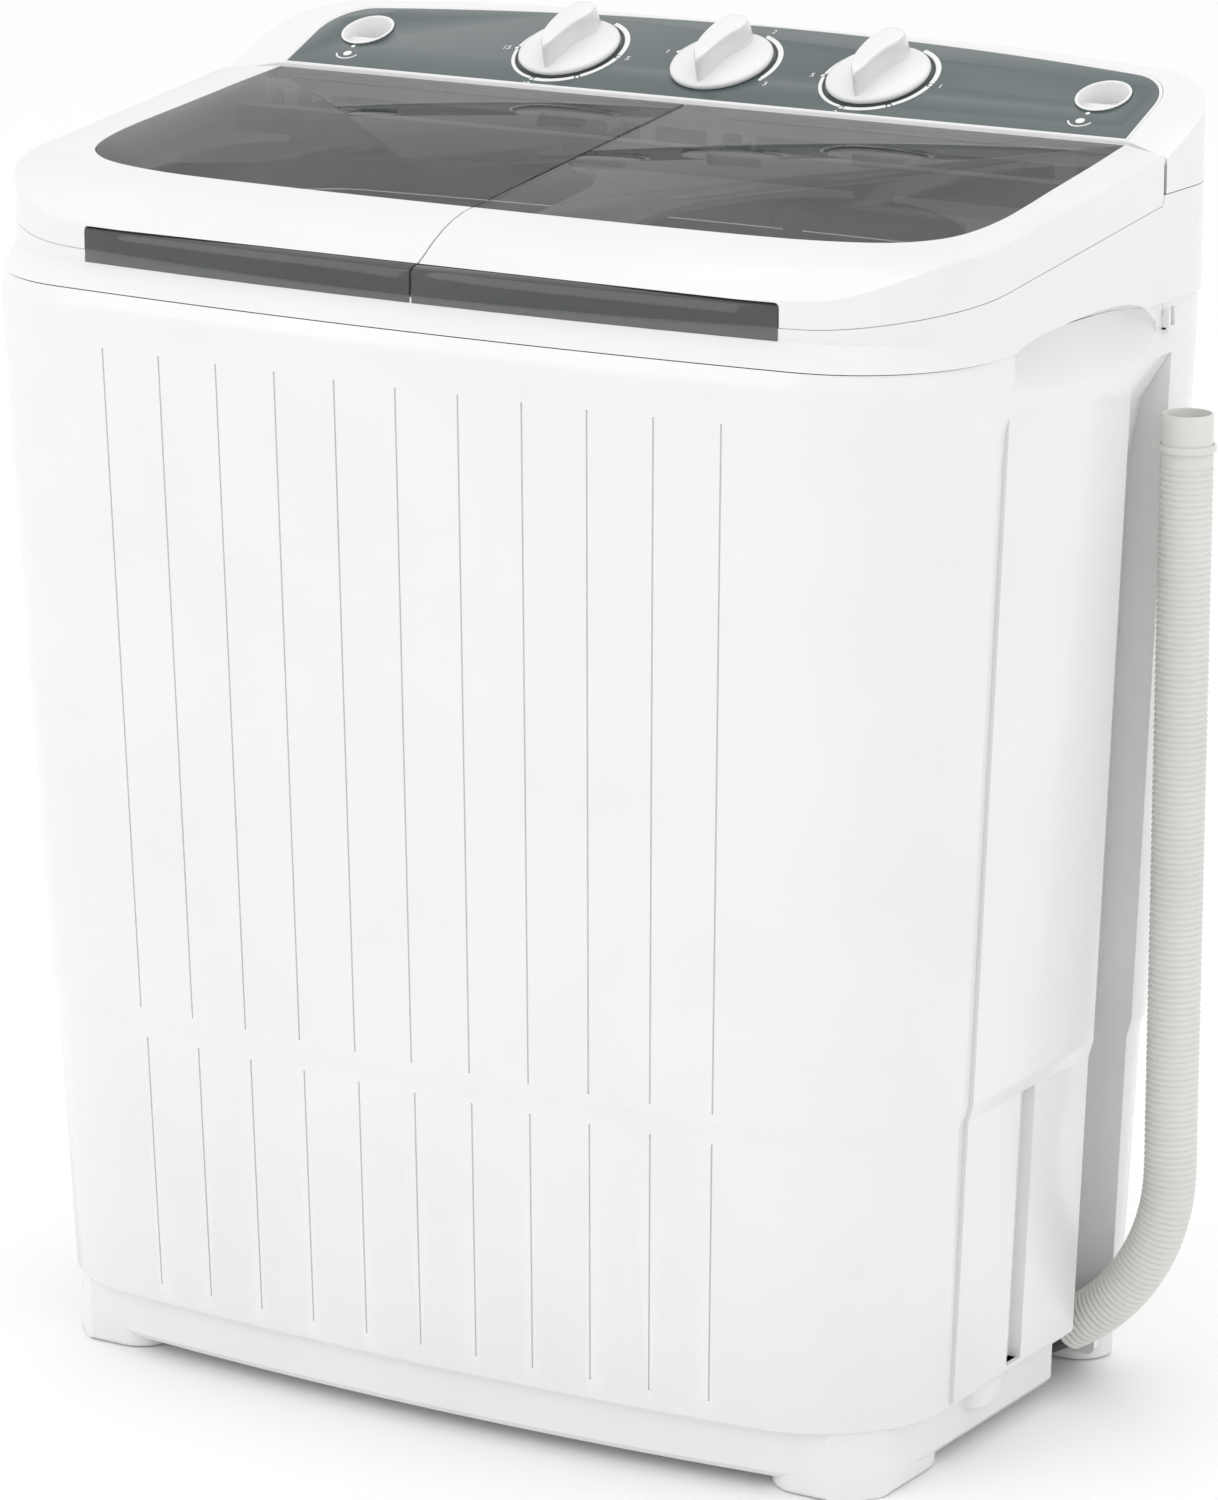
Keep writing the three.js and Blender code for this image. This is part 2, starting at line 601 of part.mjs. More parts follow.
function panelHousing() {
  const outer = hood(0).subtract(lidSwing(0.5));
  const inner = hood(WALL).subtract(lidSwing(0.5 + WALL));
  const knuckleGaps = hingeKnuckleSpans().map(([x0, x1]) =>
    block(x0 - 1, HINGE_Y - 6, 820, x1 + 1, HINGE_Y + 6, SHELF_TOP + 5),
  );
  const recess = prism(fasciaPlan(0), 820, 930).intersect(fasciaSheet(-2, 20));
  const holes = [...knobHoles(7), ...inletHoles(INLET_RADIUS + 0.6)];
  return cut(outer, inner, recess, ...knuckleGaps, ...holes);
}

function panelFascia() {
  const sheet = prism(fasciaPlan(GAP), 820, 930).intersect(fasciaSheet(-2 + GAP, 0));
  return cut(sheet, ...knobHoles(7), ...inletHoles(INLET_RADIUS + 0.6));
}

// Water inlet: a cup through the fascia with a half shelf inside and a spout below
function inletPort(x) {
  const cup = join(
    ring(0, 0, -24, 0.4, INLET_RADIUS - 2, INLET_RADIUS, 24),
    cut(cylinder(0, 0, -18, -15, INLET_RADIUS - 1, 24), block(-30, 0, -30, 30, 30, 0)),
    block(-INLET_RADIUS + 1, -1.5, -22, INLET_RADIUS - 1, 0.5, -15),
  );
  return onFascia(cup, x, INLET_Y);
}

// Knob: a round base with a tall wing grip and a shaft stub through the fascia
function knob(x) {
  const base = turned(0, 0, [[0, 0.6], [36.5, 0.6], [36.5, 3], [33, 6], [0, 7]], 36);
  const wing = loft([
    { z: 5, outline: roundedRect(-11, -34, 11, 33, 10) },
    { z: 19, outline: roundedRect(-7.5, -22, 7.5, 31, 7) },
  ]);
  const stub = cylinder(0, 0, -14, 1, 5.5, 16);
  return onFascia(join(base, wing, stub), x, KNOB_Y);
}

function controlBox(x, width, height) {
  const half = width / 2;
  const box = cut(block(-half, -20, -14 - height, half, 20, -15), cylinder(0, 0, -20, -10, 5, 12));
  return onFascia(box, x, KNOB_Y);
}

// Wash side
const TUB = { x0: -345, y0: 46, x1: -8, y1: 392, wall: 3, top: 764 };

function washTub() {
  const rim = TUB.top;
  const at = (inset) => roundedRect(TUB.x0 + inset, TUB.y0 + inset, TUB.x1 - inset, TUB.y1 - inset, 60 - inset);
  const outer = loft([
    { z: TUB_BOTTOM, outline: at(26) },
    { z: TUB_BOTTOM + 40, outline: at(8) },
    { z: rim, outline: at(0) },
  ]);
  const inner = loft([
    { z: TUB_BOTTOM + TUB.wall, outline: at(28) },
    { z: TUB_BOTTOM + 42, outline: at(8 + TUB.wall) },
    { z: rim + 1, outline: at(TUB.wall) },
  ]);
  const shaftHole = cylinder(WASH_X, WASH_Y, TUB_BOTTOM - 5, TUB_BOTTOM + 10, 14, 20);
  const drainHole = cylinder(DRAIN.x, DRAIN.y, TUB_BOTTOM - 5, TUB_BOTTOM + 10, 16, 20);
  return cut(outer, inner, shaftHole, drainHole);
}

const DRAIN = { x: -60, y: 345 };

function pulsator() {
  const disc = turned(WASH_X, WASH_Y, [
    [0, 312], [126, 312], [132, 316], [126, 324], [40, 332], [22, 350], [0, 354],
  ], 40);
  const fins = [0, 1, 2, 3].map((i) => {
    const fin = loft([
      { z: 318, outline: roundedRect(20, -13, 122, 13, 12, 3) },
      { z: 340, outline: roundedRect(26, -5, 100, 5, 5, 3) },
    ]);
    return fin.rotate([0, 0, 45 + 90 * i]).translate([WASH_X, WASH_Y, 0]);
  });
  return cut(join(disc, ...fins), cylinder(WASH_X, WASH_Y, 300, 330, 8 + GAP, 20));
}

const pulsatorShaft = () => cylinder(WASH_X, WASH_Y, 196, 329, 8, 20);
const washBearing = () =>
  turned(WASH_X, WASH_Y, [
    [8 + GAP, 236], [22, 236], [22, 280], [60, 288], [60, TUB_BOTTOM - GAP], [8 + GAP, TUB_BOTTOM - GAP],
  ]);

// Belt drive: a small pulley on the wash motor turns the large pulley under the tub
const LARGE_PULLEY = 90;
const SMALL_PULLEY = 22.5;
const MOTOR_X = WASH_X + 118;
const MOTOR_Y = WASH_Y + 60;
const BELT_LOW = 203;
const BELT_HIGH = 213;

function pulley(x, y, radius, bore) {
  return turned(x, y, [
    [bore, 198], [radius + 5, 198], [radius + 5, 201], [radius - 2, BELT_LOW + 1], [radius - 2, BELT_HIGH - 1],
    [radius + 5, 215], [radius + 5, 218], [bore, 218],
  ], 36);
}

function driveBelt() {
  const [dx, dy] = [MOTOR_X - WASH_X, MOTOR_Y - WASH_Y];
  const distance = Math.hypot(dx, dy);
  const heading = Math.atan2(dy, dx);
  const lean = Math.acos((LARGE_PULLEY - SMALL_PULLEY) / distance);
  const loop = (grow) => {
    const outline = [];
    const add = (x, y, radius, from, to, steps) => {
      for (let i = 0; i <= steps; i++) {
        const a = heading + from + ((to - from) * i) / steps;
        outline.push(new THREE.Vector2(x + (radius + grow) * Math.cos(a), y + (radius + grow) * Math.sin(a)));
      }
    };
    add(WASH_X, WASH_Y, LARGE_PULLEY, lean, 2 * Math.PI - lean, 24);
    add(MOTOR_X, MOTOR_Y, SMALL_PULLEY, -lean, lean, 8);
    return outline;
  };
  return cut(prism(loop(4), BELT_LOW + 2, BELT_HIGH - 2), prism(loop(0.6), BELT_LOW, BELT_HIGH));
}

function washMotor() {
  return join(
    turned(MOTOR_X, MOTOR_Y, [[0, 82], [48, 84], [58, 92], [58, 168], [48, 176], [0, 178]], 28),
    cylinder(MOTOR_X, MOTOR_Y, 170, 222, 6, 14),
  );
}

function washMotorBracket() {
  const plate = prism(roundedRect(MOTOR_X - 66, MOTOR_Y - 50, MOTOR_X + 66, MOTOR_Y + 50, 12), 74, 81.5);
  const legs = [[-60, -40], [-60, 32], [52, -40], [52, 32]].map(([dx, dy]) =>
    block(MOTOR_X + dx, MOTOR_Y + dy, BASE_TOP + GAP, MOTOR_X + dx + 8, MOTOR_Y + dy + 8, 76),
  );
  return join(plate, ...legs);
}

// Drain valve below the wash tub, its plug, spring and the pipe to the outlet
function valveBody() {
  const { x, y } = DRAIN;
  const shell = turned(x, y, [
    [12, TUB_BOTTOM - GAP], [12, 286], [19, 280], [19, 243], [7, 242], [7, 222], [17.5, 222], [17.5, 238],
    [24, 243], [24, TUB_BOTTOM - GAP],
  ], 20);
  return shell;
}

const valvePlug = () => turned(DRAIN.x, DRAIN.y, [
  [0, 247], [4, 247], [4, 262], [15, 264], [16, 272], [11.6, 280], [11, 288], [0, 289],
], 20);

function valveSpring() {
  return coil(DRAIN.x, DRAIN.y, 245, 260, 8, 0.9);
}

const hoseCentre = () => ({ x: HOSE_X - HOSE_BEND, z: HOSE_BEND_TOP });

// A point on the hose's bend, or past its lower end along its own direction
function hosePoint(angle, past = 0) {
  const { x, z } = hoseCentre();
  return point(
    x + HOSE_BEND * Math.cos(angle) - past * Math.sin(angle),
    HOSE_Y,
    z - HOSE_BEND * Math.sin(angle) - past * Math.cos(angle),
  );
}

function drainPipe() {
  const end = hosePoint(HOSE_BEND_ANGLE, 29.5);
  const curve = new THREE.CatmullRomCurve3([
    point(DRAIN.x, DRAIN.y, 221.5), point(DRAIN.x, DRAIN.y, 190), point(DRAIN.x, DRAIN.y + 4, 130),
    point(DRAIN.x + 25, DRAIN.y + 10, 88), point(0, DRAIN.y + 12, 76), point(110, DRAIN.y + 8, 76),
    point(190, DRAIN.y + 2, 72), point(228, HOSE_Y, 52), point(248, HOSE_Y, 30), point(270, HOSE_Y, 19), end,
  ]);
  return rodAlong(curve, 12, 10, 30);
}

// Outlet: a spigot below the channel, in line with the lower end of the hose
function hoseOutlet() {
  const low = hosePoint(HOSE_BEND_ANGLE, 1.2);
  const back = hosePoint(HOSE_BEND_ANGLE, 26);
  const line = new THREE.LineCurve3(back, low);
  return rodAlong(line, 15, 16, 1);
}

// Drain hose: out of the base, round and up the right side, as [x, z] pairs in one upright plane
const HOSE_ROUTE = [
  [320.1, 37.9], [333, 45.6], [345.1, 54.7], [356.1, 65], [366, 76.3], [374.6, 88.7], [381.9, 101.9],
  [387.8, 115.7], [392.2, 130.2], [395.1, 145], [396.5, 165], [396.5, 200], [396.5, 260], [396.5, 330],
  [396.5, 410], [396.5, 490], [396.5, 570], [396.5, 651],
];
const hoseRoute = () => HOSE_ROUTE.map(([x, z]) => point(x, HOSE_Y, z));

const drainHose = () => rodAlong(new THREE.CatmullRomCurve3(hoseRoute()), HOSE_RADIUS, 12, 26);

const hoseCuff = () =>
  turned(HOSE_X, HOSE_Y, [
    [0, HOSE_CUFF_BOTTOM + GAP], [17.2, HOSE_CUFF_BOTTOM + GAP], [17.2, 687], [14.6, 687], [14.6, 660], [0, 660],
  ], 28);

// Clip: a split ring round the cuff, on an arm from the cabinet's side
function hoseClip() {
  const clip = ring(HOSE_X, HOSE_Y, 662, 667, 17.2 + GAP, 19.2, 28);
  const arm = block(halfWidthAt(664) + 0.8, HOSE_Y - 4, 662, HOSE_X - 17.6, HOSE_Y + 4, 667);
  return cut(join(clip, arm), cylinder(HOSE_X, HOSE_Y, 660, 670, 17.2 + GAP, 28));
}

// Hook for the hose's upper end, high at the rear of the right side
function hoseHook() {
  const side = halfWidthAt(745);
  return join(
    block(side + 0.3, 349, 738, side + 1.2, 369, 756),
    block(side + 0.5, 349, 738, side + 1.4, 352, 752),
    block(side + 0.5, 364, 738, side + 1.4, 368, 752),
  );
}

// Spin side
function spinCasing() {
  const outer = turned(SPIN_X, SPIN_Y, [
    [0, TUB_BOTTOM], [120, TUB_BOTTOM], [145, TUB_BOTTOM + 26], [150, 764], [0, 764],
  ], 40);
  const inner = turned(SPIN_X, SPIN_Y, [
    [0, TUB_BOTTOM + 3], [119, TUB_BOTTOM + 3], [142, TUB_BOTTOM + 27], [147, 766], [0, 766],
  ], 40);
  return cut(outer, inner, cylinder(SPIN_X, SPIN_Y, 280, 320, 30, 24));
}

function spinBasket() {
  const basket = turned(SPIN_X, SPIN_Y, [
    [9, 330], [70, 330], [121, 345], [125, 700], [125, 712], [98, 716], [98, 713], [122, 709], [122, 700],
    [118, 348], [70, 334], [9, 334],
  ], 40);
  const holes = [];
  for (let level = 0; level < 3; level++) {
    for (let i = 0; i < 10; i++) {
      const hole = new THREE.CylinderGeometry(5, 5, 30, 6);
      hole.rotateZ(Math.PI / 2).translate(121, 0, 420 + level * 100);
      holes.push(solid(hole).rotate([0, 0, 36 * i + 18 * (level % 2)]).translate([SPIN_X, SPIN_Y, 0]));
    }
  }
  return cut(basket, ...holes);
}

const spinShaft = () => cylinder(SPIN_X, SPIN_Y, 214, 345, 8.6, 20);
const spinSeal = () =>
  turned(SPIN_X, SPIN_Y, [[10, 276], [16, 276], [20, 284], [34, 290], [34, 299.5], [16, 299.5], [10, 306]], 24);
const brakeDrum = () => ring(SPIN_X, SPIN_Y, 232, 256, 8.6 + GAP, 46, 32);
const spinCoupling = () => ring(SPIN_X, SPIN_Y, 190, 213.5, 6.5, 16, 20);

function brakeLever() {
  const quarter = block(SPIN_X + 25, SPIN_Y + 12, 236, SPIN_X + 90, SPIN_Y + 90, 252);
  const pad = ring(SPIN_X, SPIN_Y, 236, 252, 50.5, 58, 40).intersect(quarter);
  const arm = block(SPIN_X + 50, SPIN_Y + 20, 240, SPIN_X + 88, SPIN_Y + 30, 248);
  return cut(join(pad, arm), cylinder(SPIN_X + 80, SPIN_Y + 25, 200, 300, 3.3, 12));
}

const brakePin = () => cylinder(SPIN_X + 80, SPIN_Y + 25, 232, 268, 3, 12);

function spinMotor() {
  return join(
    turned(SPIN_X, SPIN_Y, [[0, 104], [56, 106], [64, 114], [64, 166], [54, 176], [0, 178]], 32),
    cylinder(SPIN_X, SPIN_Y, 170, 205, 6.2, 14),
  );
}

const SPRING_RADIUS = 88;
const springPlaces = () =>
  [90, 210, 330].map((deg) => {
    const a = THREE.MathUtils.degToRad(deg);
    return [SPIN_X + SPRING_RADIUS * Math.cos(a), SPIN_Y + SPRING_RADIUS * Math.sin(a)];
  });

function motorPlate() {
  const disc = cylinder(SPIN_X, SPIN_Y, 97, 103.5, 74, 32);
  const pads = springPlaces().map(([x, y]) => cylinder(x, y, 97, 103.5, 22, 20));
  return join(disc, ...pads);
}

const motorSpring = ([x, y]) => coil(x, y, BASE_TOP + 3, 94, 15, 2.2);

// A loose disc that is pressed onto the washing; in an empty basket it lies at the bottom
const spinSafetyDisc = () =>
  turned(SPIN_X, SPIN_Y, [[20, 351], [110, 351], [112, 354], [110, 357], [20, 357]]);

// Lint filter in its frame on the wash tub's right wall
const lintFilter = () => cut(
  prism(roundedRect(-48, 150, -26, 250, 8), 430, 590),
  prism(roundedRect(-45, 153, -29, 247, 6), 434, 600),
);
const filterFrame = () => cut(
  block(-53, 140, 420, -18.5, 260, 600),
  prism(roundedRect(-48.4, 149.6, -25.6, 250.4, 8), 429.6, 610),
  block(-60, 165, 440, -40, 235, 585),
);

const capacitor = () => turned(-250, 120, [[0, BASE_TOP + GAP], [21, BASE_TOP + GAP], [21, 130], [0, 132]], 20);
const lidSwitch = () => join(block(90, 322, 788, 122, 336, 805.5), block(100, 324, 778, 110, 332, 790));

// Rear cover: a panel over the motor space that follows the rear wall, with the cable gland
const COVER = { x: 210, z0: 70, z1: 232, lift: 2.6 };
const rearAt = (z) => DEPTH - 2 - REAR_TAPER * fall(z);

function rearCover() {
  const layer = (inset) => [COVER.z0, COVER.z1].map((z) => ({ z, outline: cabinetPlan(z, STEP_INSET + inset) }));
  const ribs = [0, 1, 2, 3, 4].map((i) => {
    const z = 120 + 18 * i;
    const y = rearAt(z) - STEP_INSET - 2;
    return block(-60, y, z, 60, y + COVER.lift + 3.5, z + 4);
  });
  const plate = cut(loft(layer(-COVER.lift)), loft(layer(-GAP)));
  const trimmed = join(plate, ...ribs).intersect(block(-COVER.x, 400, 0, COVER.x, DEPTH, COVER.z1 + 1));
  const wallSpace = loft([40, COVER.z1 + 9].map((z) => ({ z, outline: cabinetPlan(z, STEP_INSET - GAP) })));
  return cut(trimmed, wallSpace, glandHole(9.3));
}

const GLAND = { x: 160, z: 100, radius: 9 };

function alongY(radius, y0, y1) {
  const rod = new THREE.CylinderGeometry(radius, radius, y1 - y0, 20);
  return solid(rod.translate(GLAND.x, (y0 + y1) / 2, GLAND.z));
}

const glandHole = (radius) => alongY(radius, 400, DEPTH);

function cordGland() {
  const y = rearAt(GLAND.z);
  const flange = alongY(GLAND.radius + 4, y + 1, y + 5);
  return cut(join(flange, alongY(GLAND.radius, y - 3, y + 2)), alongY(GLAND.radius / 2, 400, DEPTH));
}

place("cabinet", cabinet(), glossWhite());
place("base_frame", baseFrame(), glossWhite());
place("top_deck", topDeck(), glossWhite());
place("panel_housing", panelHousing(), glossWhite());
place("panel_fascia", panelFascia(), fasciaGrey());
["wash", "spin"].forEach((which, i) => {
  const side = i ? 1 : -1;
  place(which + "_inlet_port", inletPort(inletPlaces()[i]), glossWhite());
  place(which + "_lid_frame", lidFrame(side), glossWhite());
  place(which + "_lid_window", lidWindow(side), tintedClear());
  place(which + "_lid_grip", gripStrip(side), tintedClear());
  place(which + "_lid_pin", lidPin(side), steel());
});
["wash_timer", "drain_selector", "spin_timer"].forEach((which, i) => {
  place(which + "_knob", knob(knobPlaces()[i]), glossWhite());
  place(which + (i === 1 ? "_switch" : "_body"), controlBox(knobPlaces()[i], i === 1 ? 40 : 52, 16), darkPlastic());
});
place("wash_tub", washTub(), satinWhite());
place("pulsator", pulsator(), satinWhite());
place("pulsator_shaft", pulsatorShaft(), steel());
place("wash_bearing", washBearing(), castMetal());
place("large_pulley", pulley(WASH_X, WASH_Y, LARGE_PULLEY, 8 + GAP), darkPlastic());
place("motor_pulley", pulley(MOTOR_X, MOTOR_Y, SMALL_PULLEY, 6 + GAP), darkPlastic());
place("drive_belt", driveBelt(), blackRubber());
place("wash_motor", washMotor(), castMetal());
place("wash_motor_bracket", washMotorBracket(), steel());
place("lint_filter", lintFilter(), satinWhite());
place("filter_frame", filterFrame(), satinWhite());
place("drain_valve_body", valveBody(), darkPlastic());
place("drain_plug", valvePlug(), blackRubber());
place("drain_valve_spring", valveSpring(), steel());
place("drain_pipe", drainPipe(), darkPlastic());
place("spin_casing", spinCasing(), satinWhite());
place("spin_basket", spinBasket(), satinWhite());
place("spin_shaft", spinShaft(), steel());
place("spin_seal", spinSeal(), blackRubber());
place("brake_drum", brakeDrum(), castMetal());
place("spin_coupling", spinCoupling(), castMetal());
place("brake_lever", brakeLever(), steel());
place("brake_pin", brakePin(), steel());
place("spin_motor", spinMotor(), castMetal());
place("spin_motor_plate", motorPlate(), steel());
springPlaces().forEach((where, i) => place("motor_spring_" + (i + 1), motorSpring(where), steel()));
place("spin_safety_disc", spinSafetyDisc(), satinWhite());
place("lid_switch", lidSwitch(), darkPlastic());
place("capacitor", capacitor(), castMetal());
place("rear_cover", rearCover(), satinWhite());
place("cord_gland", cordGland(), darkPlastic());
place("hose_outlet", hoseOutlet(), darkPlastic());
place("drain_hose", drainHose(), hosePlastic());
place("hose_cuff", hoseCuff(), hosePlastic());
place("hose_clip", hoseClip(), hosePlastic());
place("hose_hook", hoseHook(), glossWhite());

export default machine;
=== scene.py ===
import bpy
import math
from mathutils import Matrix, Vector


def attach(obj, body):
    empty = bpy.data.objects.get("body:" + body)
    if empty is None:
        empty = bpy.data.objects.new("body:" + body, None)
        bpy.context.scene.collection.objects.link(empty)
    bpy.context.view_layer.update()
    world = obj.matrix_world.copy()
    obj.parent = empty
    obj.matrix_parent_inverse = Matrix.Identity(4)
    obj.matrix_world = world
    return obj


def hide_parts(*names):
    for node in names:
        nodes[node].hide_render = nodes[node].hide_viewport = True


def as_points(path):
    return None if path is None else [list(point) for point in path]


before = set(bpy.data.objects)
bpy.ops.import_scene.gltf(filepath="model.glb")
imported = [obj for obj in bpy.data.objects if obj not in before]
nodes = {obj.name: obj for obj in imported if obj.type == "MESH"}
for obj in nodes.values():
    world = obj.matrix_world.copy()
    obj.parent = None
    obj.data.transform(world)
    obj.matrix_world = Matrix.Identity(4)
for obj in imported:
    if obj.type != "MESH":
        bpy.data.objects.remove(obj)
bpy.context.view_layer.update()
scene = bpy.context.scene
print("frame loaded:", len(nodes), "CAD nodes")

halfDepth = 233.5  # lengths along Y below are given in mm from the front of the cabinet


def at(x, y, z):
    return Vector((x / 1000, (y - halfDepth) / 1000, z / 1000))


# Making and shaping

def deselectAll():
    if bpy.context.object and bpy.context.object.mode != "OBJECT":
        bpy.ops.object.mode_set(mode="OBJECT")
    bpy.ops.object.select_all(action="DESELECT")


def choose(piece):
    deselectAll()
    piece.select_set(True)
    bpy.context.view_layer.objects.active = piece


def stack(name, count, layers, pointAt, openEnds=False):
    # a closed outline raised layer by layer, each corner then moved to its place
    deselectAll()
    bpy.ops.mesh.primitive_circle_add(vertices=count, radius=1, fill_type="NGON")
    made = bpy.context.object
    made.name = made.data.name = name
    bpy.ops.object.mode_set(mode="EDIT")
    bpy.ops.mesh.select_all(action="SELECT")
    for _ in range(layers - 1):
        bpy.ops.mesh.extrude_region_move(TRANSFORM_OT_translate={"value": (0, 0, 1)})
    bpy.ops.object.mode_set(mode="OBJECT")
    for v in made.data.vertices:
        turn = math.atan2(-v.co.x, v.co.y) / (2 * math.pi) * count
        v.co = pointAt(round(turn) % count, round(v.co.z))
    if openEnds:
        bpy.ops.object.mode_set(mode="EDIT")
        bpy.ops.mesh.select_mode(type="FACE")
        bpy.ops.mesh.select_all(action="DESELECT")
        bpy.ops.object.mode_set(mode="OBJECT")
        for face in made.data.polygons:
            face.select = len(face.vertices) > 4
        bpy.ops.object.mode_set(mode="EDIT")
        bpy.ops.mesh.delete(type="FACE")
        bpy.ops.object.mode_set(mode="OBJECT")
    faceOut(made)
    return made


def faceOut(piece):
    choose(piece)
    bpy.ops.object.mode_set(mode="EDIT")
    bpy.ops.mesh.select_mode(type="VERT")
    bpy.ops.mesh.select_all(action="SELECT")
    bpy.ops.mesh.normals_make_consistent(inside=False)
    bpy.ops.object.mode_set(mode="OBJECT")


def pushed(name, profile, xs, bow=lambda x: 0):
    # a side profile of (y, z) corners, pushed along X through the places xs
    def pointAt(i, k):
        return at(xs[k], profile[i][0] + bow(xs[k]), profile[i][1])
    return stack(name, len(profile), len(xs), pointAt)


def raised(name, outline, z0, z1):
    # a plan outline of (x, y) corners, raised from z0 to z1
    return stack(name, len(outline), 2, lambda i, k: at(*outline[i], (z0, z1)[k]))


def box(name, x0, y0, z0, x1, y1, z1):
    return raised(name, [(x0, y0), (x1, y0), (x1, y1), (x0, y1)], z0, z1)


def carve(target, tool, how="DIFFERENCE", keepTool=False):
    choose(target)
    cut = target.modifiers.new("cut", "BOOLEAN")
    cut.operation = how
    cut.object = tool
    cut.solver = "EXACT"
    bpy.ops.object.modifier_apply(modifier=cut.name)
    if not keepTool:
        bpy.data.objects.remove(tool)
    return target


def joined(name, pieces):
    deselectAll()
    for piece in pieces:
        piece.select_set(True)
    bpy.context.view_layer.objects.active = pieces[0]
    if len(pieces) > 1:
        bpy.ops.object.join()
    pieces[0].name = pieces[0].data.name = name
    return pieces[0]


def copyOf(piece, name):
    twin = piece.copy()
    twin.data = piece.data.copy()
    twin.name = twin.data.name = name
    scene.collection.objects.link(twin)
    return twin


def softenEdges(piece, width, segments=3, angle=35):
    choose(piece)
    edge = piece.modifiers.new("softEdge", "BEVEL")
    edge.width = width / 1000
    edge.segments = segments
    edge.limit_method = "ANGLE"
    edge.angle_limit = math.radians(angle)
    edge.harden_normals = False
    bpy.ops.object.modifier_apply(modifier=edge.name)
    return piece


def smooth(piece, angle=32):
    choose(piece)
    bpy.ops.object.shade_smooth_by_angle(angle=math.radians(angle))
    return piece


def wallInward(piece, thickness):
    choose(piece)
    wall = piece.modifiers.new("wall", "SOLIDIFY")
    wall.thickness = thickness / 1000
    wall.offset = -1
    wall.use_even_offset = True
    bpy.ops.object.modifier_apply(modifier=wall.name)
    return piece


def dropFaces(piece, isDropped):
    choose(piece)
    bpy.ops.object.mode_set(mode="EDIT")
    bpy.ops.mesh.select_mode(type="FACE")
    bpy.ops.mesh.select_all(action="DESELECT")
    bpy.ops.object.mode_set(mode="OBJECT")
    for face in piece.data.polygons:
        face.select = isDropped(face)
    bpy.ops.object.mode_set(mode="EDIT")
    bpy.ops.mesh.delete(type="FACE")
    bpy.ops.object.mode_set(mode="OBJECT")


def roundEdges(piece, isRounded, radius, segments):
    # bevels the edges between two faces for which isRounded(edge middle, normal, normal) holds
    facesOf = {}
    for face in piece.data.polygons:
        for key in face.edge_keys:
            facesOf.setdefault(key, []).append(face.normal.copy())
    choose(piece)
    bpy.ops.object.mode_set(mode="EDIT")
    bpy.ops.mesh.select_mode(type="EDGE")
    bpy.ops.mesh.select_all(action="DESELECT")
    bpy.ops.object.mode_set(mode="OBJECT")
    for edge in piece.data.edges:
        beside = facesOf.get(edge.key, [])
        if len(beside) == 2:
            middle = sum((piece.data.vertices[v].co for v in edge.vertices), Vector()) / 2
            edge.select = bool(isRounded(middle, beside[0], beside[1]))
    bpy.ops.object.mode_set(mode="EDIT")
    bpy.ops.mesh.bevel(offset=radius / 1000, segments=segments, profile=0.5, clamp_overlap=True)
    bpy.ops.object.mode_set(mode="OBJECT")
    return piece


def roundedRect(x0, y0, x1, y1, radius, steps=6):
    outline = []
    for cx, cy, start in ((x1 - radius, y0 + radius, -90), (x1 - radius, y1 - radius, 0),
                          (x0 + radius, y1 - radius, 90), (x0 + radius, y0 + radius, 180)):
        for i in range(steps + 1):
            a = math.radians(start + 90 * i / steps)
            outline.append((cx + radius * math.cos(a), cy + radius * math.sin(a)))
    return outline


def curveThrough(points, perSpan, closed=True):
    # a smooth line through the points, with perSpan steps from each to the next
    made, n = [], len(points)
    for i in range(n if closed else n - 1):
        p = [points[(i + k) % n] if closed else points[min(max(i + k, 0), n - 1)] for k in (-1, 0, 1, 2)]
        for s in range(perSpan):
            t = s / perSpan
            made.append(tuple(0.5 * (2 * b + (c - a) * t + (2 * a - 5 * b + 4 * c - d) * t * t
                                     + (3 * b - a - 3 * c + d) * t ** 3) for a, b, c, d in zip(*p)))
    if not closed:
        made.append(points[-1])
    return made


# Camera

shot = {"place": (2.2286, -3.5767, 1.5244), "turn": 31.72, "down": 14.58, "lens": 187.84}
bpy.ops.object.camera_add(location=shot["place"],
                          rotation=(math.radians(90 - shot["down"]), 0, math.radians(shot["turn"])))
camera = bpy.context.object
camera.name = "shotCamera"
camera.data.lens = shot["lens"]
camera.data.sensor_fit = "HORIZONTAL"
camera.data.sensor_width = 36
camera.data.clip_end = 60
scene.camera = camera

# Drain hose: corrugated, out of the base and up the right side

hose = {"radius": 18.1, "groove": 1.35, "pitch": 4.2, "y": 345, "around": 32, "perPitch": 6, "wall": 1.4}
hoseRoute = [
    (320.1, 37.9), (333, 45.6), (345.1, 54.7), (356.1, 65), (366, 76.3), (374.6, 88.7), (381.9, 101.9),
    (387.8, 115.7), (392.2, 130.2), (395.1, 145), (396.5, 165), (396.5, 200), (396.5, 260), (396.5, 330),
    (396.5, 410), (396.5, 490), (396.5, 570), (396.5, 651),
]


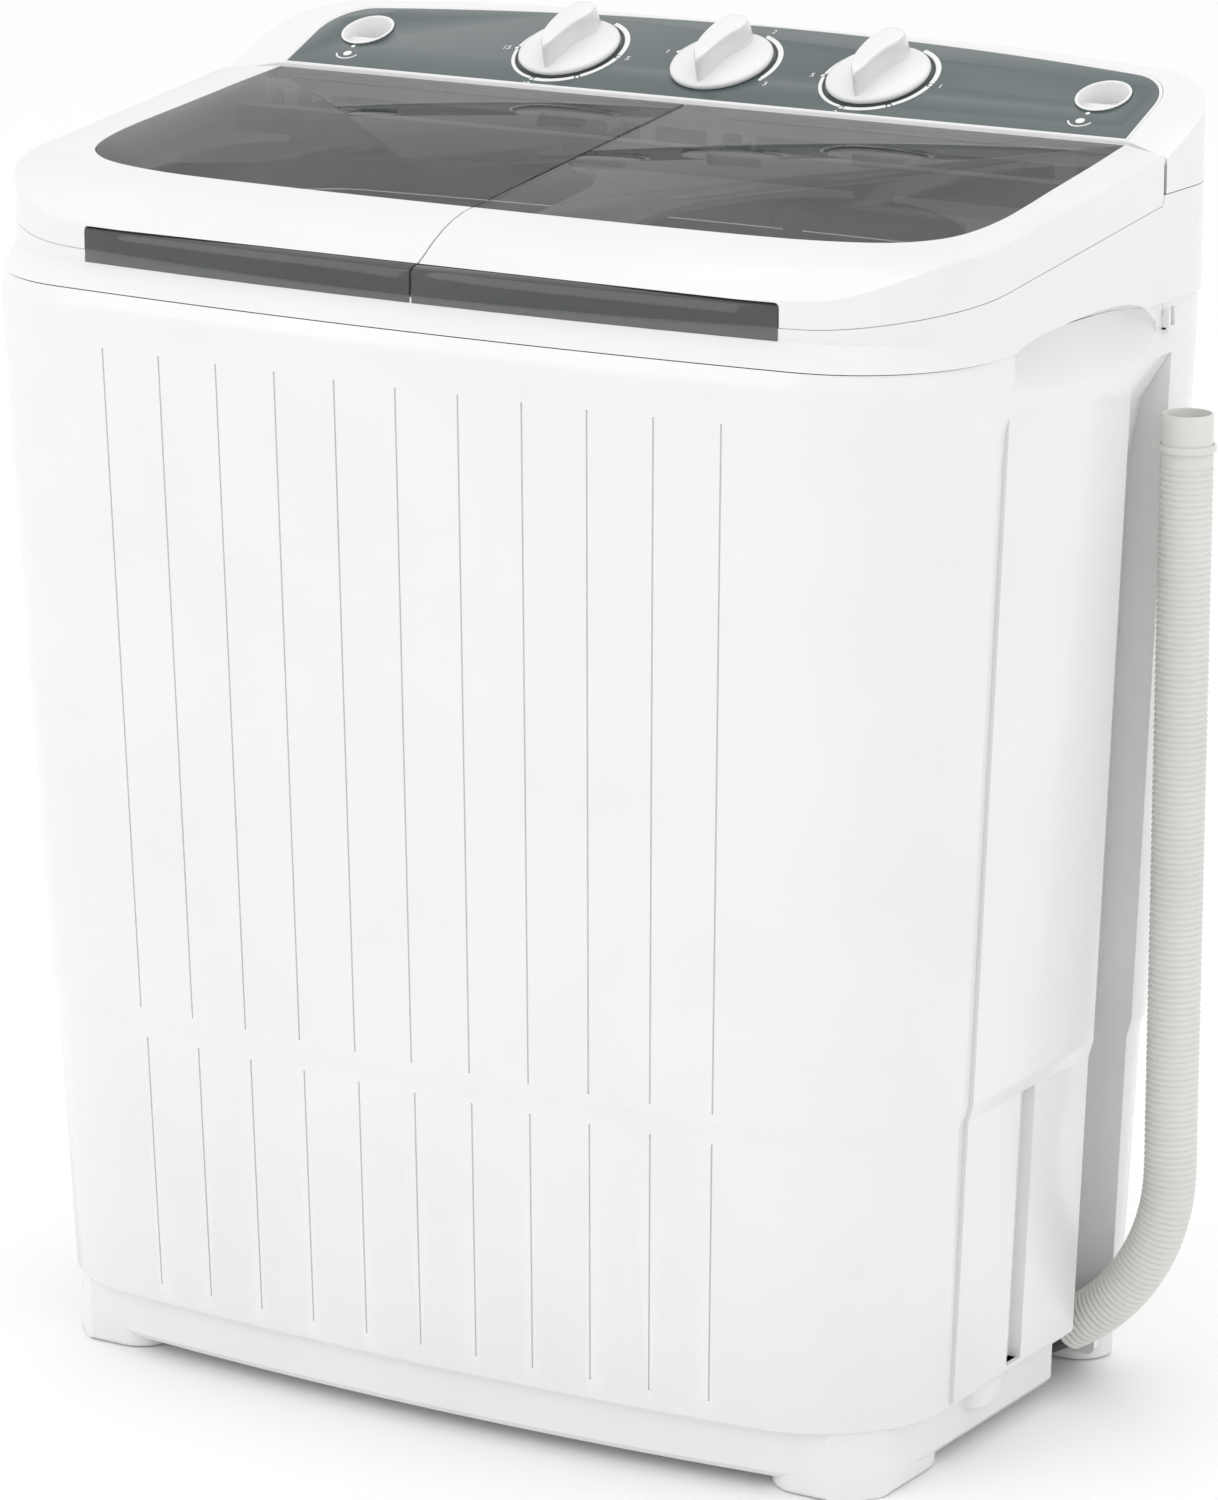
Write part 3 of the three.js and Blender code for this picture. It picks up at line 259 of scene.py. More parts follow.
def alongRoute(route, step):
    # evenly spaced (x, z, direction) along the smooth line through the route
    fine = curveThrough(route, 24, closed=False)
    lengths = [0]
    for a, b in zip(fine, fine[1:]):
        lengths.append(lengths[-1] + math.dist(a, b))
    count = round(lengths[-1] / step)
    places, k = [], 0
    for i in range(count + 1):
        s = lengths[-1] * i / count
        while k < len(lengths) - 2 and lengths[k + 1] < s:
            k += 1
        t = (s - lengths[k]) / (lengths[k + 1] - lengths[k])
        (x0, z0), (x1, z1) = fine[k], fine[k + 1]
        places.append((x0 + (x1 - x0) * t, z0 + (z1 - z0) * t, math.atan2(z1 - z0, x1 - x0), s))
    return places, lengths[-1]


def makeHose():
    places, length = alongRoute(hoseRoute, hose["pitch"] / hose["perPitch"])
    around, corners, faces = hose["around"], [], []
    for x, z, turn, s in places:
        wave = (s / hose["pitch"]) % 1
        rise = max(0, math.cos((wave - 0.5) * 2 * math.pi) * 0.5 + 0.5) ** 0.6
        radius = hose["radius"] - hose["groove"] * (1 - rise)
        for i in range(around):
            a = 2 * math.pi * i / around
            out = radius * math.cos(a)
            corners.append(at(x + math.sin(turn) * out, hose["y"] + radius * math.sin(a),
                              z - math.cos(turn) * out))
    for k in range(len(places) - 1):
        for i in range(around):
            j = (i + 1) % around
            faces.append((k * around + i, k * around + j, (k + 1) * around + j, (k + 1) * around + i))
    mesh = bpy.data.meshes.new("drainHose")
    mesh.from_pydata(corners, [], faces)
    piece = bpy.data.objects.new("drainHose", mesh)
    scene.collection.objects.link(piece)
    faceOut(piece)
    wallInward(piece, hose["wall"])
    return smooth(piece, 60), [at(x, hose["y"], z) for x, z, _, _ in places[::3]], length / 1000


drainHose, hosePath, hoseLength = makeHose()
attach(drainHose, "machine")
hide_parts("drain_hose")


def turnedPiece(name, x, y, profile, sides):
    # a solid of revolution about an upright axis, closed by its own (radius, height) outline
    n = len(profile)
    made = stack(name, n, sides, lambda i, k: at(x + profile[i][0] * math.cos(2 * math.pi * k / sides),
                                                 y + profile[i][0] * math.sin(2 * math.pi * k / sides),
                                                 profile[i][1]), openEnds=True)
    choose(made)
    bpy.ops.object.mode_set(mode="EDIT")
    bpy.ops.mesh.select_mode(type="EDGE")
    bpy.ops.mesh.select_all(action="DESELECT")
    bpy.ops.mesh.select_non_manifold()
    bpy.ops.mesh.bridge_edge_loops()
    bpy.ops.object.mode_set(mode="OBJECT")
    faceOut(made)
    return made


hoseEnd = {"x": 396.5, "y": 345, "outer": 17.6, "neck": 17.2, "inner": 15.2, "foot": 648, "bottom": 651.5,
           "top": 687, "sides": 48}
cuffOutline = [(hoseEnd["inner"], hoseEnd["foot"]), (hoseEnd["neck"], hoseEnd["foot"]),
               (hoseEnd["neck"], hoseEnd["bottom"]), (hoseEnd["outer"], hoseEnd["bottom"] + 1),
               (hoseEnd["outer"], 659), (hoseEnd["neck"], 660), (hoseEnd["neck"], hoseEnd["top"] - 1),
               (16.8, hoseEnd["top"]), (15.6, hoseEnd["top"]), (hoseEnd["inner"], 686.4)]
hoseCuff = turnedPiece("hoseCuff", hoseEnd["x"], hoseEnd["y"], cuffOutline, hoseEnd["sides"])
smooth(hoseCuff, 40)
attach(hoseCuff, "machine")
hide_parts("hose_cuff")

clipOutline = [(17.5, 662), (18.6, 661.6), (19.4, 662.6), (19.4, 665.6), (18.6, 666.6), (17.5, 666.2)]
hoseClip = turnedPiece("hoseClip", hoseEnd["x"], hoseEnd["y"], clipOutline, hoseEnd["sides"])
clipArm = box("clipArm", 372.4, 341, 662, 379.5, 349, 666)
hoseClip = joined("hoseClip", [hoseClip, softenEdges(clipArm, 0.8, 2)])
smooth(hoseClip, 40)
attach(hoseClip, "machine")
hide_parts("hose_clip")
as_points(hosePath)
print("hose made, %.3f m" % hoseLength)

# Finishes: shared effects first, then one material for each finish


def newGroup(name, inputs, outputs):
    group = bpy.data.node_groups.new(name, "ShaderNodeTree")
    for label, kind, value in inputs:
        socket = group.interface.new_socket(name=label, in_out="INPUT", socket_type=kind)
        socket.default_value = value
    for label, kind in outputs:
        group.interface.new_socket(name=label, in_out="OUTPUT", socket_type=kind)
    return group, group.nodes.new("NodeGroupInput"), group.nodes.new("NodeGroupOutput")


def link(tree, start, end):
    tree.links.new(start, end)


def mapped(tree, value, low, high, fromLow=0.0, fromHigh=1.0):
    node = tree.nodes.new("ShaderNodeMapRange")
    node.inputs["From Min"].default_value, node.inputs["From Max"].default_value = fromLow, fromHigh
    for label, end in (("To Min", low), ("To Max", high)):
        if isinstance(end, (int, float)):
            node.inputs[label].default_value = end
        else:
            link(tree, end, node.inputs[label])
    link(tree, value, node.inputs["Value"])
    return node.outputs["Result"]


def makeMouldedGroup():
    # moulded plastic: faint flow clouds, fine orange peel, dulled patches and a little dust
    group, inside, outside = newGroup("mouldedSkin", [
        ("Color", "NodeSocketColor", (0.8, 0.8, 0.8, 1)), ("Shade", "NodeSocketColor", (0.7, 0.7, 0.7, 1)),
        ("Cloud Scale", "NodeSocketFloat", 9.0), ("Grain Scale", "NodeSocketFloat", 900.0),
        ("Rough Low", "NodeSocketFloat", 0.2), ("Rough High", "NodeSocketFloat", 0.3),
    ], [("Color", "NodeSocketColor"), ("Roughness", "NodeSocketFloat"), ("Height", "NodeSocketFloat")])
    place = group.nodes.new("ShaderNodeTexCoord")
    cloud = group.nodes.new("ShaderNodeTexNoise")
    cloud.inputs["Detail"].default_value = 3
    grain = group.nodes.new("ShaderNodeTexNoise")
    grain.inputs["Detail"].default_value = 4
    for noise, scale in ((cloud, "Cloud Scale"), (grain, "Grain Scale")):
        link(group, place.outputs["Object"], noise.inputs["Vector"])
        link(group, inside.outputs[scale], noise.inputs["Scale"])
    shade = group.nodes.new("ShaderNodeMix")
    shade.data_type = "RGBA"
    link(group, mapped(group, cloud.outputs["Fac"], 0.0, 1.0, 0.35, 0.75), shade.inputs["Factor"])
    link(group, inside.outputs["Color"], shade.inputs["A"])
    link(group, inside.outputs["Shade"], shade.inputs["B"])
    link(group, shade.outputs["Result"], outside.inputs["Color"])
    rough = mapped(group, cloud.outputs["Fac"], inside.outputs["Rough Low"], inside.outputs["Rough High"],
                   0.3, 0.7)
    link(group, rough, outside.inputs["Roughness"])
    link(group, grain.outputs["Fac"], outside.inputs["Height"])
    return group


def makeRolledGroup():
    # drawn or rolled metal: long fine streaks and blotches of handling
    group, inside, outside = newGroup("rolledMetal", [
        ("Color", "NodeSocketColor", (0.6, 0.6, 0.6, 1)), ("Dull", "NodeSocketColor", (0.4, 0.4, 0.4, 1)),
        ("Streak Scale", "NodeSocketFloat", 60.0), ("Rough Low", "NodeSocketFloat", 0.25),
        ("Rough High", "NodeSocketFloat", 0.45),
    ], [("Color", "NodeSocketColor"), ("Roughness", "NodeSocketFloat"), ("Height", "NodeSocketFloat")])
    place = group.nodes.new("ShaderNodeTexCoord")
    stretch = group.nodes.new("ShaderNodeMapping")
    stretch.inputs["Scale"].default_value = (1, 1, 0.04)
    link(group, place.outputs["Object"], stretch.inputs["Vector"])
    streak = group.nodes.new("ShaderNodeTexNoise")
    link(group, stretch.outputs["Vector"], streak.inputs["Vector"])
    link(group, inside.outputs["Streak Scale"], streak.inputs["Scale"])
    blotch = group.nodes.new("ShaderNodeTexNoise")
    blotch.inputs["Scale"].default_value = 14
    link(group, place.outputs["Object"], blotch.inputs["Vector"])
    mix = group.nodes.new("ShaderNodeMix")
    mix.data_type = "RGBA"
    link(group, mapped(group, blotch.outputs["Fac"], 0.0, 1.0, 0.35, 0.7), mix.inputs["Factor"])
    link(group, inside.outputs["Color"], mix.inputs["A"])
    link(group, inside.outputs["Dull"], mix.inputs["B"])
    link(group, mix.outputs["Result"], outside.inputs["Color"])
    rough = mapped(group, streak.outputs["Fac"], inside.outputs["Rough Low"], inside.outputs["Rough High"],
                   0.3, 0.7)
    link(group, rough, outside.inputs["Roughness"])
    link(group, streak.outputs["Fac"], outside.inputs["Height"])
    return group


mouldedSkin, rolledMetal = makeMouldedGroup(), makeRolledGroup()


def finish(name, group, bump, values, **shader):
    made = bpy.data.materials.new(name)
    made.use_nodes = True
    tree = made.node_tree
    base = tree.nodes["Principled BSDF"]
    effect = tree.nodes.new("ShaderNodeGroup")
    effect.node_tree = group
    for label, value in values.items():
        effect.inputs[label].default_value = value
    raisedBy = tree.nodes.new("ShaderNodeBump")
    raisedBy.inputs["Strength"].default_value = bump
    raisedBy.inputs["Distance"].default_value = 0.0003
    link(tree, effect.outputs["Color"], base.inputs["Base Color"])
    link(tree, effect.outputs["Roughness"], base.inputs["Roughness"])
    link(tree, effect.outputs["Height"], raisedBy.inputs["Height"])
    link(tree, raisedBy.outputs["Normal"], base.inputs["Normal"])
    for label, value in shader.items():
        base.inputs[label.replace("_", " ")].default_value = value
    return made


def grey(value):
    return (value, value, value, 1)


def plasticFinish(name, color, shade, low, high, bump=0.06, cloud=9.0, grain=900.0, **shader):
    values = {"Color": color, "Shade": shade, "Cloud Scale": cloud, "Grain Scale": grain,
              "Rough Low": low, "Rough High": high}
    return finish(name, mouldedSkin, bump, values, **shader)


def metalFinish(name, color, dull, low, high, streak=60.0, bump=0.15):
    values = {"Color": color, "Dull": dull, "Streak Scale": streak, "Rough Low": low, "Rough High": high}
    return finish(name, rolledMetal, bump, values, Metallic=1.0)


finishes = {
    "gloss_white": plasticFinish("glossWhite", grey(0.8), grey(0.775), 0.17, 0.25, 0.04, Coat_Weight=0.35),
    "satin_white": plasticFinish("satinWhite", grey(0.74), grey(0.68), 0.32, 0.48, 0.1),
    "fascia_grey": plasticFinish("fasciaGrey", (0.085, 0.11, 0.112, 1), (0.078, 0.101, 0.103, 1),
                                 0.1, 0.16, 0.02),
    "hose_plastic": plasticFinish("hosePlastic", (0.72, 0.71, 0.68, 1), (0.66, 0.65, 0.62, 1),
                                  0.38, 0.55, 0.12),
    "black_rubber": plasticFinish("blackRubber", grey(0.02), grey(0.035), 0.6, 0.85, 0.4, grain=500.0),
    "dark_plastic": plasticFinish("darkPlastic", grey(0.045), grey(0.06), 0.35, 0.55, 0.2),
    "tinted_clear": plasticFinish("tintedClear", (0.02, 0.024, 0.024, 1), (0.022, 0.026, 0.026, 1),
                                  0.02, 0.05, 0.0, Alpha=0.5, IOR=1.9),
    "steel": metalFinish("rolledSteel", grey(0.6), grey(0.45), 0.25, 0.45),
    "cast_metal": metalFinish("castMetal", grey(0.42), grey(0.3), 0.45, 0.65, 220.0, 0.5),
    "iron": metalFinish("darkIron", grey(0.2), grey(0.12), 0.5, 0.75, 260.0, 0.6),
}
whitePrint = plasticFinish("whitePrint", grey(0.85), grey(0.8), 0.3, 0.4)
# near-black colour for the painted shadow line just outside each knob
paintedKnobShadow = plasticFinish("paintedKnobShadow", grey(0.01), grey(0.014), 0.3, 0.4)
# near-black colour for the hinge shelf, as dark as the zone behind the windows
shelfGrey = plasticFinish("shelfGrey", (0.012, 0.013, 0.013, 1), (0.016, 0.017, 0.017, 1), 0.3, 0.45)


def dress(piece, material):
    piece.data.materials.clear()
    piece.data.materials.append(material)
    for face in piece.data.polygons:
        face.material_index = 0


def settle(piece, body, slot, *replaced, material=None, angle=32):
    # the last step for a piece: smooth shading, finish, body and the CAD nodes it stands for
    smooth(piece, angle)
    dress(piece, material or finishes[slot])
    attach(piece, body)
    if replaced:
        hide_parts(*replaced)
    return piece


# every CAD node takes the finish its own material slot names
for name, node in nodes.items():
    given = node.data.materials[0].name.split(".")[0] if node.data.materials else ""
    dress(node, finishes.get(given, finishes["satin_white"]))
for piece in (drainHose, hoseCuff, hoseClip):
    dress(piece, finishes["hose_plastic"])
print("finishes made")

# Cabinet and deck share one plan: bowed front and rear, round corners

machinePlan = {"half": 375, "depth": 467, "frontRound": 100, "rearRound": 60, "frontBow": 22, "rearBow": 24,
               "taperStart": 726, "sideTaper": 0.0405, "frontTaper": 0.0282, "rearTaper": 0.0315}


def corner(half, radius, bow):
    # where the bow meets the corner's arc, and the slope there
    a = 0.0
    for _ in range(6):
        x = half - radius * (1 - math.sin(a))
        a = math.atan(2 * bow * x / half ** 2)
    return x, a


def planOutline(half, front, rear, inset=0, steps=16):
    half, front, rear = half - inset, front + inset, rear - inset
    r1, r2 = machinePlan["frontRound"] - inset, machinePlan["rearRound"] - inset
    bow1, bow2 = machinePlan["frontBow"], machinePlan["rearBow"]
    (fx, fa), (rx, ra) = corner(half, r1, bow1), corner(half, r2, bow2)
    fy = front + bow1 * (fx / half) ** 2 + r1 * math.cos(fa)
    ry = rear - bow2 * (rx / half) ** 2 - r2 * math.cos(ra)
    right = []
    for i in range(1, steps):
        x = fx * i / steps
        right.append((x, front + bow1 * (x / half) ** 2))
    for i in range(steps + 1):
        a = -math.pi / 2 + fa + (math.pi / 2 - fa) * i / steps
        right.append((half - r1 + r1 * math.cos(a), fy + r1 * math.sin(a)))
    for i in range(steps + 1):
        a = (math.pi / 2 - ra) * i / steps
        right.append((half - r2 + r2 * math.cos(a), ry + r2 * math.sin(a)))
    for i in range(1, steps):
        x = rx * (1 - i / steps)
        right.append((x, rear - bow2 * (x / half) ** 2))
    return [(0, front)] + right + [(0, rear)] + [(-x, y) for x, y in reversed(right)]


def fall(z):
    return max(0, machinePlan["taperStart"] - z)


def sideAt(z):
    return machinePlan["half"] - 1.5 - machinePlan["sideTaper"] * fall(z)


cabinetSizes = {"bottom": 48, "stepLow": 246, "stepHigh": 257.5, "stepInset": 3, "wall": 2.6, "top": 756.8,
                "groovePitch": 48, "grooveWidth": 1.9, "grooveDepth": 1.3, "groovesEachSide": 5,
                "grooveSpans": [(62, 241), (263, 721)]}
# (height, depth at the front, depth at the rear) of each shape cut into a side
beadDepths = [(40, 0, 3.2), (246, 0, 3.2), (257.5, 0, 3.2), (690, 0, 3.2), (708, 0, 2.4), (716, -1, 0.4),
              (719, -2, -1)]
slotDepths = [(53, 9, 9), (247, 9, 9)]
channelDepths = [(40, 44, 44), (250, 44, 44), (268, 24, 26), (650, 24, 26), (690, 6, 20), (722, -2, 1)]


def stepInsetAt(z):
    low, high = cabinetSizes["stepLow"], cabinetSizes["stepHigh"]
    return cabinetSizes["stepInset"] * min(1, max(0, (high - z) / (high - low)))


def cabinetOutline(z, lean=0, inset=0):
    front = machinePlan["frontTaper"] * fall(z) + lean
    rear = machinePlan["depth"] - 2 - machinePlan["rearTaper"] * fall(z)
    return planOutline(sideAt(z), front, rear, stepInsetAt(z) + inset)


def sideTool(name, y0, y1, depths, side, out=20):
    # a cutter against one side: at each height the depth it reaches under the surface
    def pointAt(i, k):
        z, depth0, depth1 = depths[k]
        surface = sideAt(z) - stepInsetAt(z)
        x, y = [(surface - depth0, y0), (surface + out, y0), (surface + out, y1), (surface - depth1, y1)][i]
        return at(side * x, y, z)
    return stack(name, 4, len(depths), pointAt)


def makeCabinet():
    low, high = cabinetSizes["stepLow"], cabinetSizes["stepHigh"]
    layers = [(cabinetSizes["bottom"], 0, 1.2), (50, 0, 0), (low - 1, 0, 0), (low + 0.8, 0, 0),
              (high - 0.8, 0, 0), (high + 1, 0, 0), (500, 0, 0), (726, 0, 0), (740, 0.4, 0), (747, 1, 0),
              (751, 2.4, 0), (cabinetSizes["top"], 5.4, 0)]
    outlines = [cabinetOutline(z, lean, inset) for z, lean, inset in layers]
    made = stack("cabinetShell", len(outlines[0]), len(layers),
                 lambda i, k: at(*outlines[k][i], layers[k][0]))
    grooves = []
    for i in range(-cabinetSizes["groovesEachSide"], cabinetSizes["groovesEachSide"] + 1):
        for z0, z1 in cabinetSizes["grooveSpans"]:
            ends = []
            for z in (z0, z1):
                half = sideAt(z) - stepInsetAt(z)
                x = i * cabinetSizes["groovePitch"] * half / machinePlan["half"]
                y = (machinePlan["frontTaper"] * fall(z) + stepInsetAt(z)
                     + machinePlan["frontBow"] * (x / half) ** 2)
                w = cabinetSizes["grooveWidth"] / 2
                ends.append([(x - w, y - 4), (x + w, y - 4), (x + w * 0.6, y + cabinetSizes["grooveDepth"]),
                             (x - w * 0.6, y + cabinetSizes["grooveDepth"])])
            grooves.append(stack("groove", 4, 2, lambda i, k: at(*ends[k][i], (z0, z1)[k])))
    carve(made, joined("grooves", grooves))
    for side in (-1, 1):
        carve(made, sideTool("bead", 128, 140.5, beadDepths, side))
        carve(made, scoopTool(side))
    carve(made, sideTool("slot", 213, 233, slotDepths, 1))
    carve(made, sideTool("channel", 309, 365, channelDepths, 1))
    dropFaces(made, lambda face: abs(face.normal.z) > 0.98 and face.area > 0.1)
    return wallInward(made, cabinetSizes["wall"])


# the hand grip from front to rear: (y, depth, top, bottom) of its scoop
gripPlaces = [(145, 3, 757, 735), (150, 9, 759, 732), (160, 14, 761.5, 731), (180, 18, 764, 729),
              (220, 20, 766, 724), (260, 20, 767, 720), (300, 18, 764, 722), (325, 12, 757, 728),
              (341, 2, 746, 738)]
gripArc = 14  # steps from the brow to the lower edge
browShare = 0.2  # the part of the height in which the scoop reaches its full depth


def scoopTool(side, grow=0):
    # a cutter for one grip, with grow mm added all round
    places = curveThrough(gripPlaces, 4, closed=False)

    def pointAt(i, k):
        y, depth, top, bottom = places[k]
        if k in (0, len(places) - 1):
            y += grow if k else -grow
        top, bottom = top + grow, bottom - grow
        if i > gripArc:
            z = top if i == gripArc + 2 else bottom
            return at(side * (sideAt(z) + 8), y, z)
        u = (i / gripArc) ** 1.6
        if u < browShare:
            full = math.sqrt(1 - (1 - u / browShare) ** 2)
        else:
            full = 1 - ((u - browShare) / (1 - browShare)) ** 1.5
        z = top + (bottom - top) * u
        return at(side * (sideAt(z) - full * (depth + grow) + (0.01 if full else 0)), y, z)
    return stack("gripScoop", gripArc + 3, len(places), pointAt)


settle(makeCabinet(), "machine", "gloss_white", "cabinet")
print("cabinet made")

# Base: plinth and four tall feet, and a small boss under the right side

baseSizes = {"plinthLevels": [(10, 17), (14, 14), (48, 13)], "footAcross": (245, 327),
             "footSpans": [(52, 165), (374, 436)], "footRound": 26, "footTop": 47.5, "footSoft": 4,
             "hoseNotch": (305, 369)}


def makeBase():
    plate = raised("baseFrame", cabinetOutline(48, inset=3.4), 46, 53)
    plinth = stack("plinth", len(cabinetOutline(48)), 3,
                   lambda i, k: at(*cabinetOutline(48, inset=baseSizes["plinthLevels"][k][1])[i],
                                   baseSizes["plinthLevels"][k][0]))
    carve(plate, plinth, "UNION")
    under = raised("under", cabinetOutline(48, inset=3.2), -1, 52)
    for side in (-1, 1):
        for y0, y1 in baseSizes["footSpans"]:
            x0, x1 = sorted(side * x for x in baseSizes["footAcross"])
            footPlan = roundedRect(x0, y0, x1, y1, baseSizes["footRound"])
            foot = raised("foot", footPlan, 0, baseSizes["footTop"])
            softenEdges(foot, baseSizes["footSoft"], 3, 60)
            carve(foot, under, "INTERSECT", keepTool=True)
            carve(plate, foot, "UNION")
    bpy.data.objects.remove(under)
    boss = softenEdges(raised("boss", roundedRect(300, 178, 340, 224, 14), 30, 48), 3, 3, 60)
    carve(plate, boss, "UNION")
    notchFront, notchRear = baseSizes["hoseNotch"]
    return carve(plate, box("hoseNotch", 188, notchFront, -2, 400, notchRear, 60))


settle(makeBase(), "machine", "gloss_white", "base_frame")

# Top deck: skirt under the lids, with the mouths of both tubs

lidSizes = {"slope": 0.12, "rear": 363, "rearHeight": 857, "breakAt": 93, "front": 19.5, "skin": 2.6,
            "shoulder": 13, "seamGap": 0.5, "middleGap": 0.7}
washMouth = (-338, 72, -14, 312, 60)
spinMouth = {"x": 178, "y": 195, "radius": 116}
deckSizes = {"levels": [(757.4, 5.6), (761, 8), (765.5, 11.2), (770, 15.4), (773.6, 19.5), (845, 19.5)],
             "rearTop": 829.2, "rearStart": 346.3, "wall": 3, "roof": 5, "gripWall": 2.5}


def lidTop(y):
    return lidSizes["rearHeight"] - lidSizes["slope"] * (lidSizes["rear"] - y)


def seamAt(y):
    return 782.9 + 0.1155 * y - 10 * math.exp(-(max(y, 15) - 15) / 22)


seamPlaces = [19, 24, 30, 38, 48, 60, 80, 110, 160, 220, 290, 344.8]
upperOutline = planOutline(machinePlan["half"], 0, machinePlan["depth"])


def makeDeck():
    layers, half, depth = deckSizes["levels"], machinePlan["half"], machinePlan["depth"]
    outer = [planOutline(half, front, depth) for _, front in layers]
    made = stack("topDeck", len(outer[0]), len(layers), lambda i, k: at(*outer[k][i], layers[k][0]))
    rear, start = deckSizes["rearTop"], deckSizes["rearStart"]
    above = [(-10, 774)] + [(y, seamAt(y) - lidSizes["seamGap"]) for y in seamPlaces]
    above += [(start, rear - 4), (start, rear), (480, rear), (480, 900), (-10, 900)]
    carve(made, pushed("above", above, [-400, 400]))
    hollow = [(-10, 750)] + [(y, seamAt(y) - deckSizes["roof"]) for y in seamPlaces]
    hollow += [(480, 815), (480, 740), (-10, 740)]
    inside = raised("inside", planOutline(half, lidSizes["front"], depth, deckSizes["wall"]), 750, 850)
    carve(inside, pushed("hollow", hollow, [-400, 400]), "INTERSECT")
    for side in (-1, 1):
        carve(inside, scoopTool(side, deckSizes["gripWall"]))
    carve(made, inside)
    carve(made, raised("washMouth", roundedRect(*washMouth, steps=12), 740, 880))
    m = spinMouth
    turns = [a * math.pi / 48 for a in range(96)]
    ringPoints = [(m["x"] + m["radius"] * math.cos(a), m["y"] + m["radius"] * math.sin(a)) for a in turns]
    carve(made, raised("spinMouth", ringPoints, 740, 880))
    carve(made, box("hingeWell", -340, 318, 818, 340, 400, 860))
    for side in (-1, 1):
        carve(made, scoopTool(side))
    return made


settle(makeDeck(), "machine", "gloss_white", "top_deck")
print("base and deck made")

# Lids: white frame, tinted window and clear grip strip

windowLine = [(0.7, 93.3), (60, 93.4), (120, 93.8), (166, 94.6), (210, 95.8), (247, 98.2), (280, 103.6),
              (304, 110.6), (320, 120), (333, 133.5), (341, 154), (344.6, 183), (344, 215), (342.4, 247),
              (341, 285), (340, 313), (338.3, 340), (337, 362.4), (0.7, 362.4)]
topLine = [(lidSizes["breakAt"], lidTop(lidSizes["breakAt"])), (82, 823), (70, 819.8), (58, 815),
           (46, 808.6), (36, 802), (28, 797.2), (22, 794), (19, 793)]


def windowOutline(side, inset=0, pastMiddle=0):
    # the plan of one window, drawn in by inset and, at the machine's middle, run past it
    inner = curveThrough(windowLine[:-1], 3, closed=False) + [windowLine[-1]]
    cx, cy = 172, 230
    made = []
    for x, y in inner:
        insetY = 0 if y > 360 and inset < 0.6 else inset
        made.append((x - math.copysign(min(inset, abs(x - cx)), x - cx),
                     y - math.copysign(min(insetY, abs(y - cy)), y - cy)))
    made = [(x - pastMiddle if x < 10 else x, y) for x, y in made]
    return [(side * x, y) for x, y in (made if side > 0 else reversed(made))]


def lidBlock(name, inset):
    # both lids as one block: plan and side profile, with round shoulders
    # the hollow, which has an inset, also runs out past the block below and behind
    s = lidSizes
    rear, under = (s["rear"] + 6, 8) if inset else (s["rear"], 0)
    made = raised(name, planOutline(machinePlan["half"], s["front"], machinePlan["depth"], inset), 700, 900)
    low = [(0, 774.4 - under)] + [(y, seamAt(y) - under) for y in seamPlaces]
    profile = low + [(345.4 - inset, 827), (345.4 - inset, 850), (rear, 851), (rear, lidTop(rear) - inset)]
    profile += [(y, z - inset) for y, z in topLine] + [(0, 793 - inset)]
    carve(made, pushed("lidProfile", profile, [-400, 400]), "INTERSECT")
    slantX, slantY, slantRear = 338.6 - inset, 346 - inset, s["rear"] + under
    slant = [(-400, -20), (400, -20), (400, slantY - 8), (376, slantY), (slantX, slantRear),
             (-slantX, slantRear), (-376, slantY), (-400, slantY - 8)]
    carve(made, raised("slant", slant, 690, 910), "INTERSECT")

    def isShoulder(middle, a, b):
        meetsWall = max(a.z, b.z) > 0.4 and min(abs(a.z), abs(b.z)) < 0.15
        outside = middle.y < 0.1 or abs(middle.x) > 0.3405
        return meetsWall and outside and middle.z > 0.78 and middle.y <= 0.1296
    return roundEdges(made, isShoulder, s["shoulder"] - inset, 6)


grip = {"half": 267,
        "profile": [(18.6, 773), (30, 774.6), (30, 776.6), (21.4, 776.2), (21.6, 793), (26, 795.6),
                    (34, 795.8), (34, 797), (25, 797), (20.4, 795.6), (19, 793), (18.8, 778)],
        "pocket": [(5, 760), (32, 774), (42, 786), (36, 797.4), (27, 797.4), (5, 797.2)]}


def bowAt(x):
    # how far back the bowed front lies at x
    return machinePlan["frontBow"] * (x / machinePlan["half"]) ** 2


def lidSheet(low, high):
    # a slab along the lids' top slope, between two heights from it
    corners = [(80, lidTop(80) + low), (370, lidTop(370) + low), (370, lidTop(370) + high),
               (80, lidTop(80) + high)]
    return pushed("sheet", corners, [-400, 400])


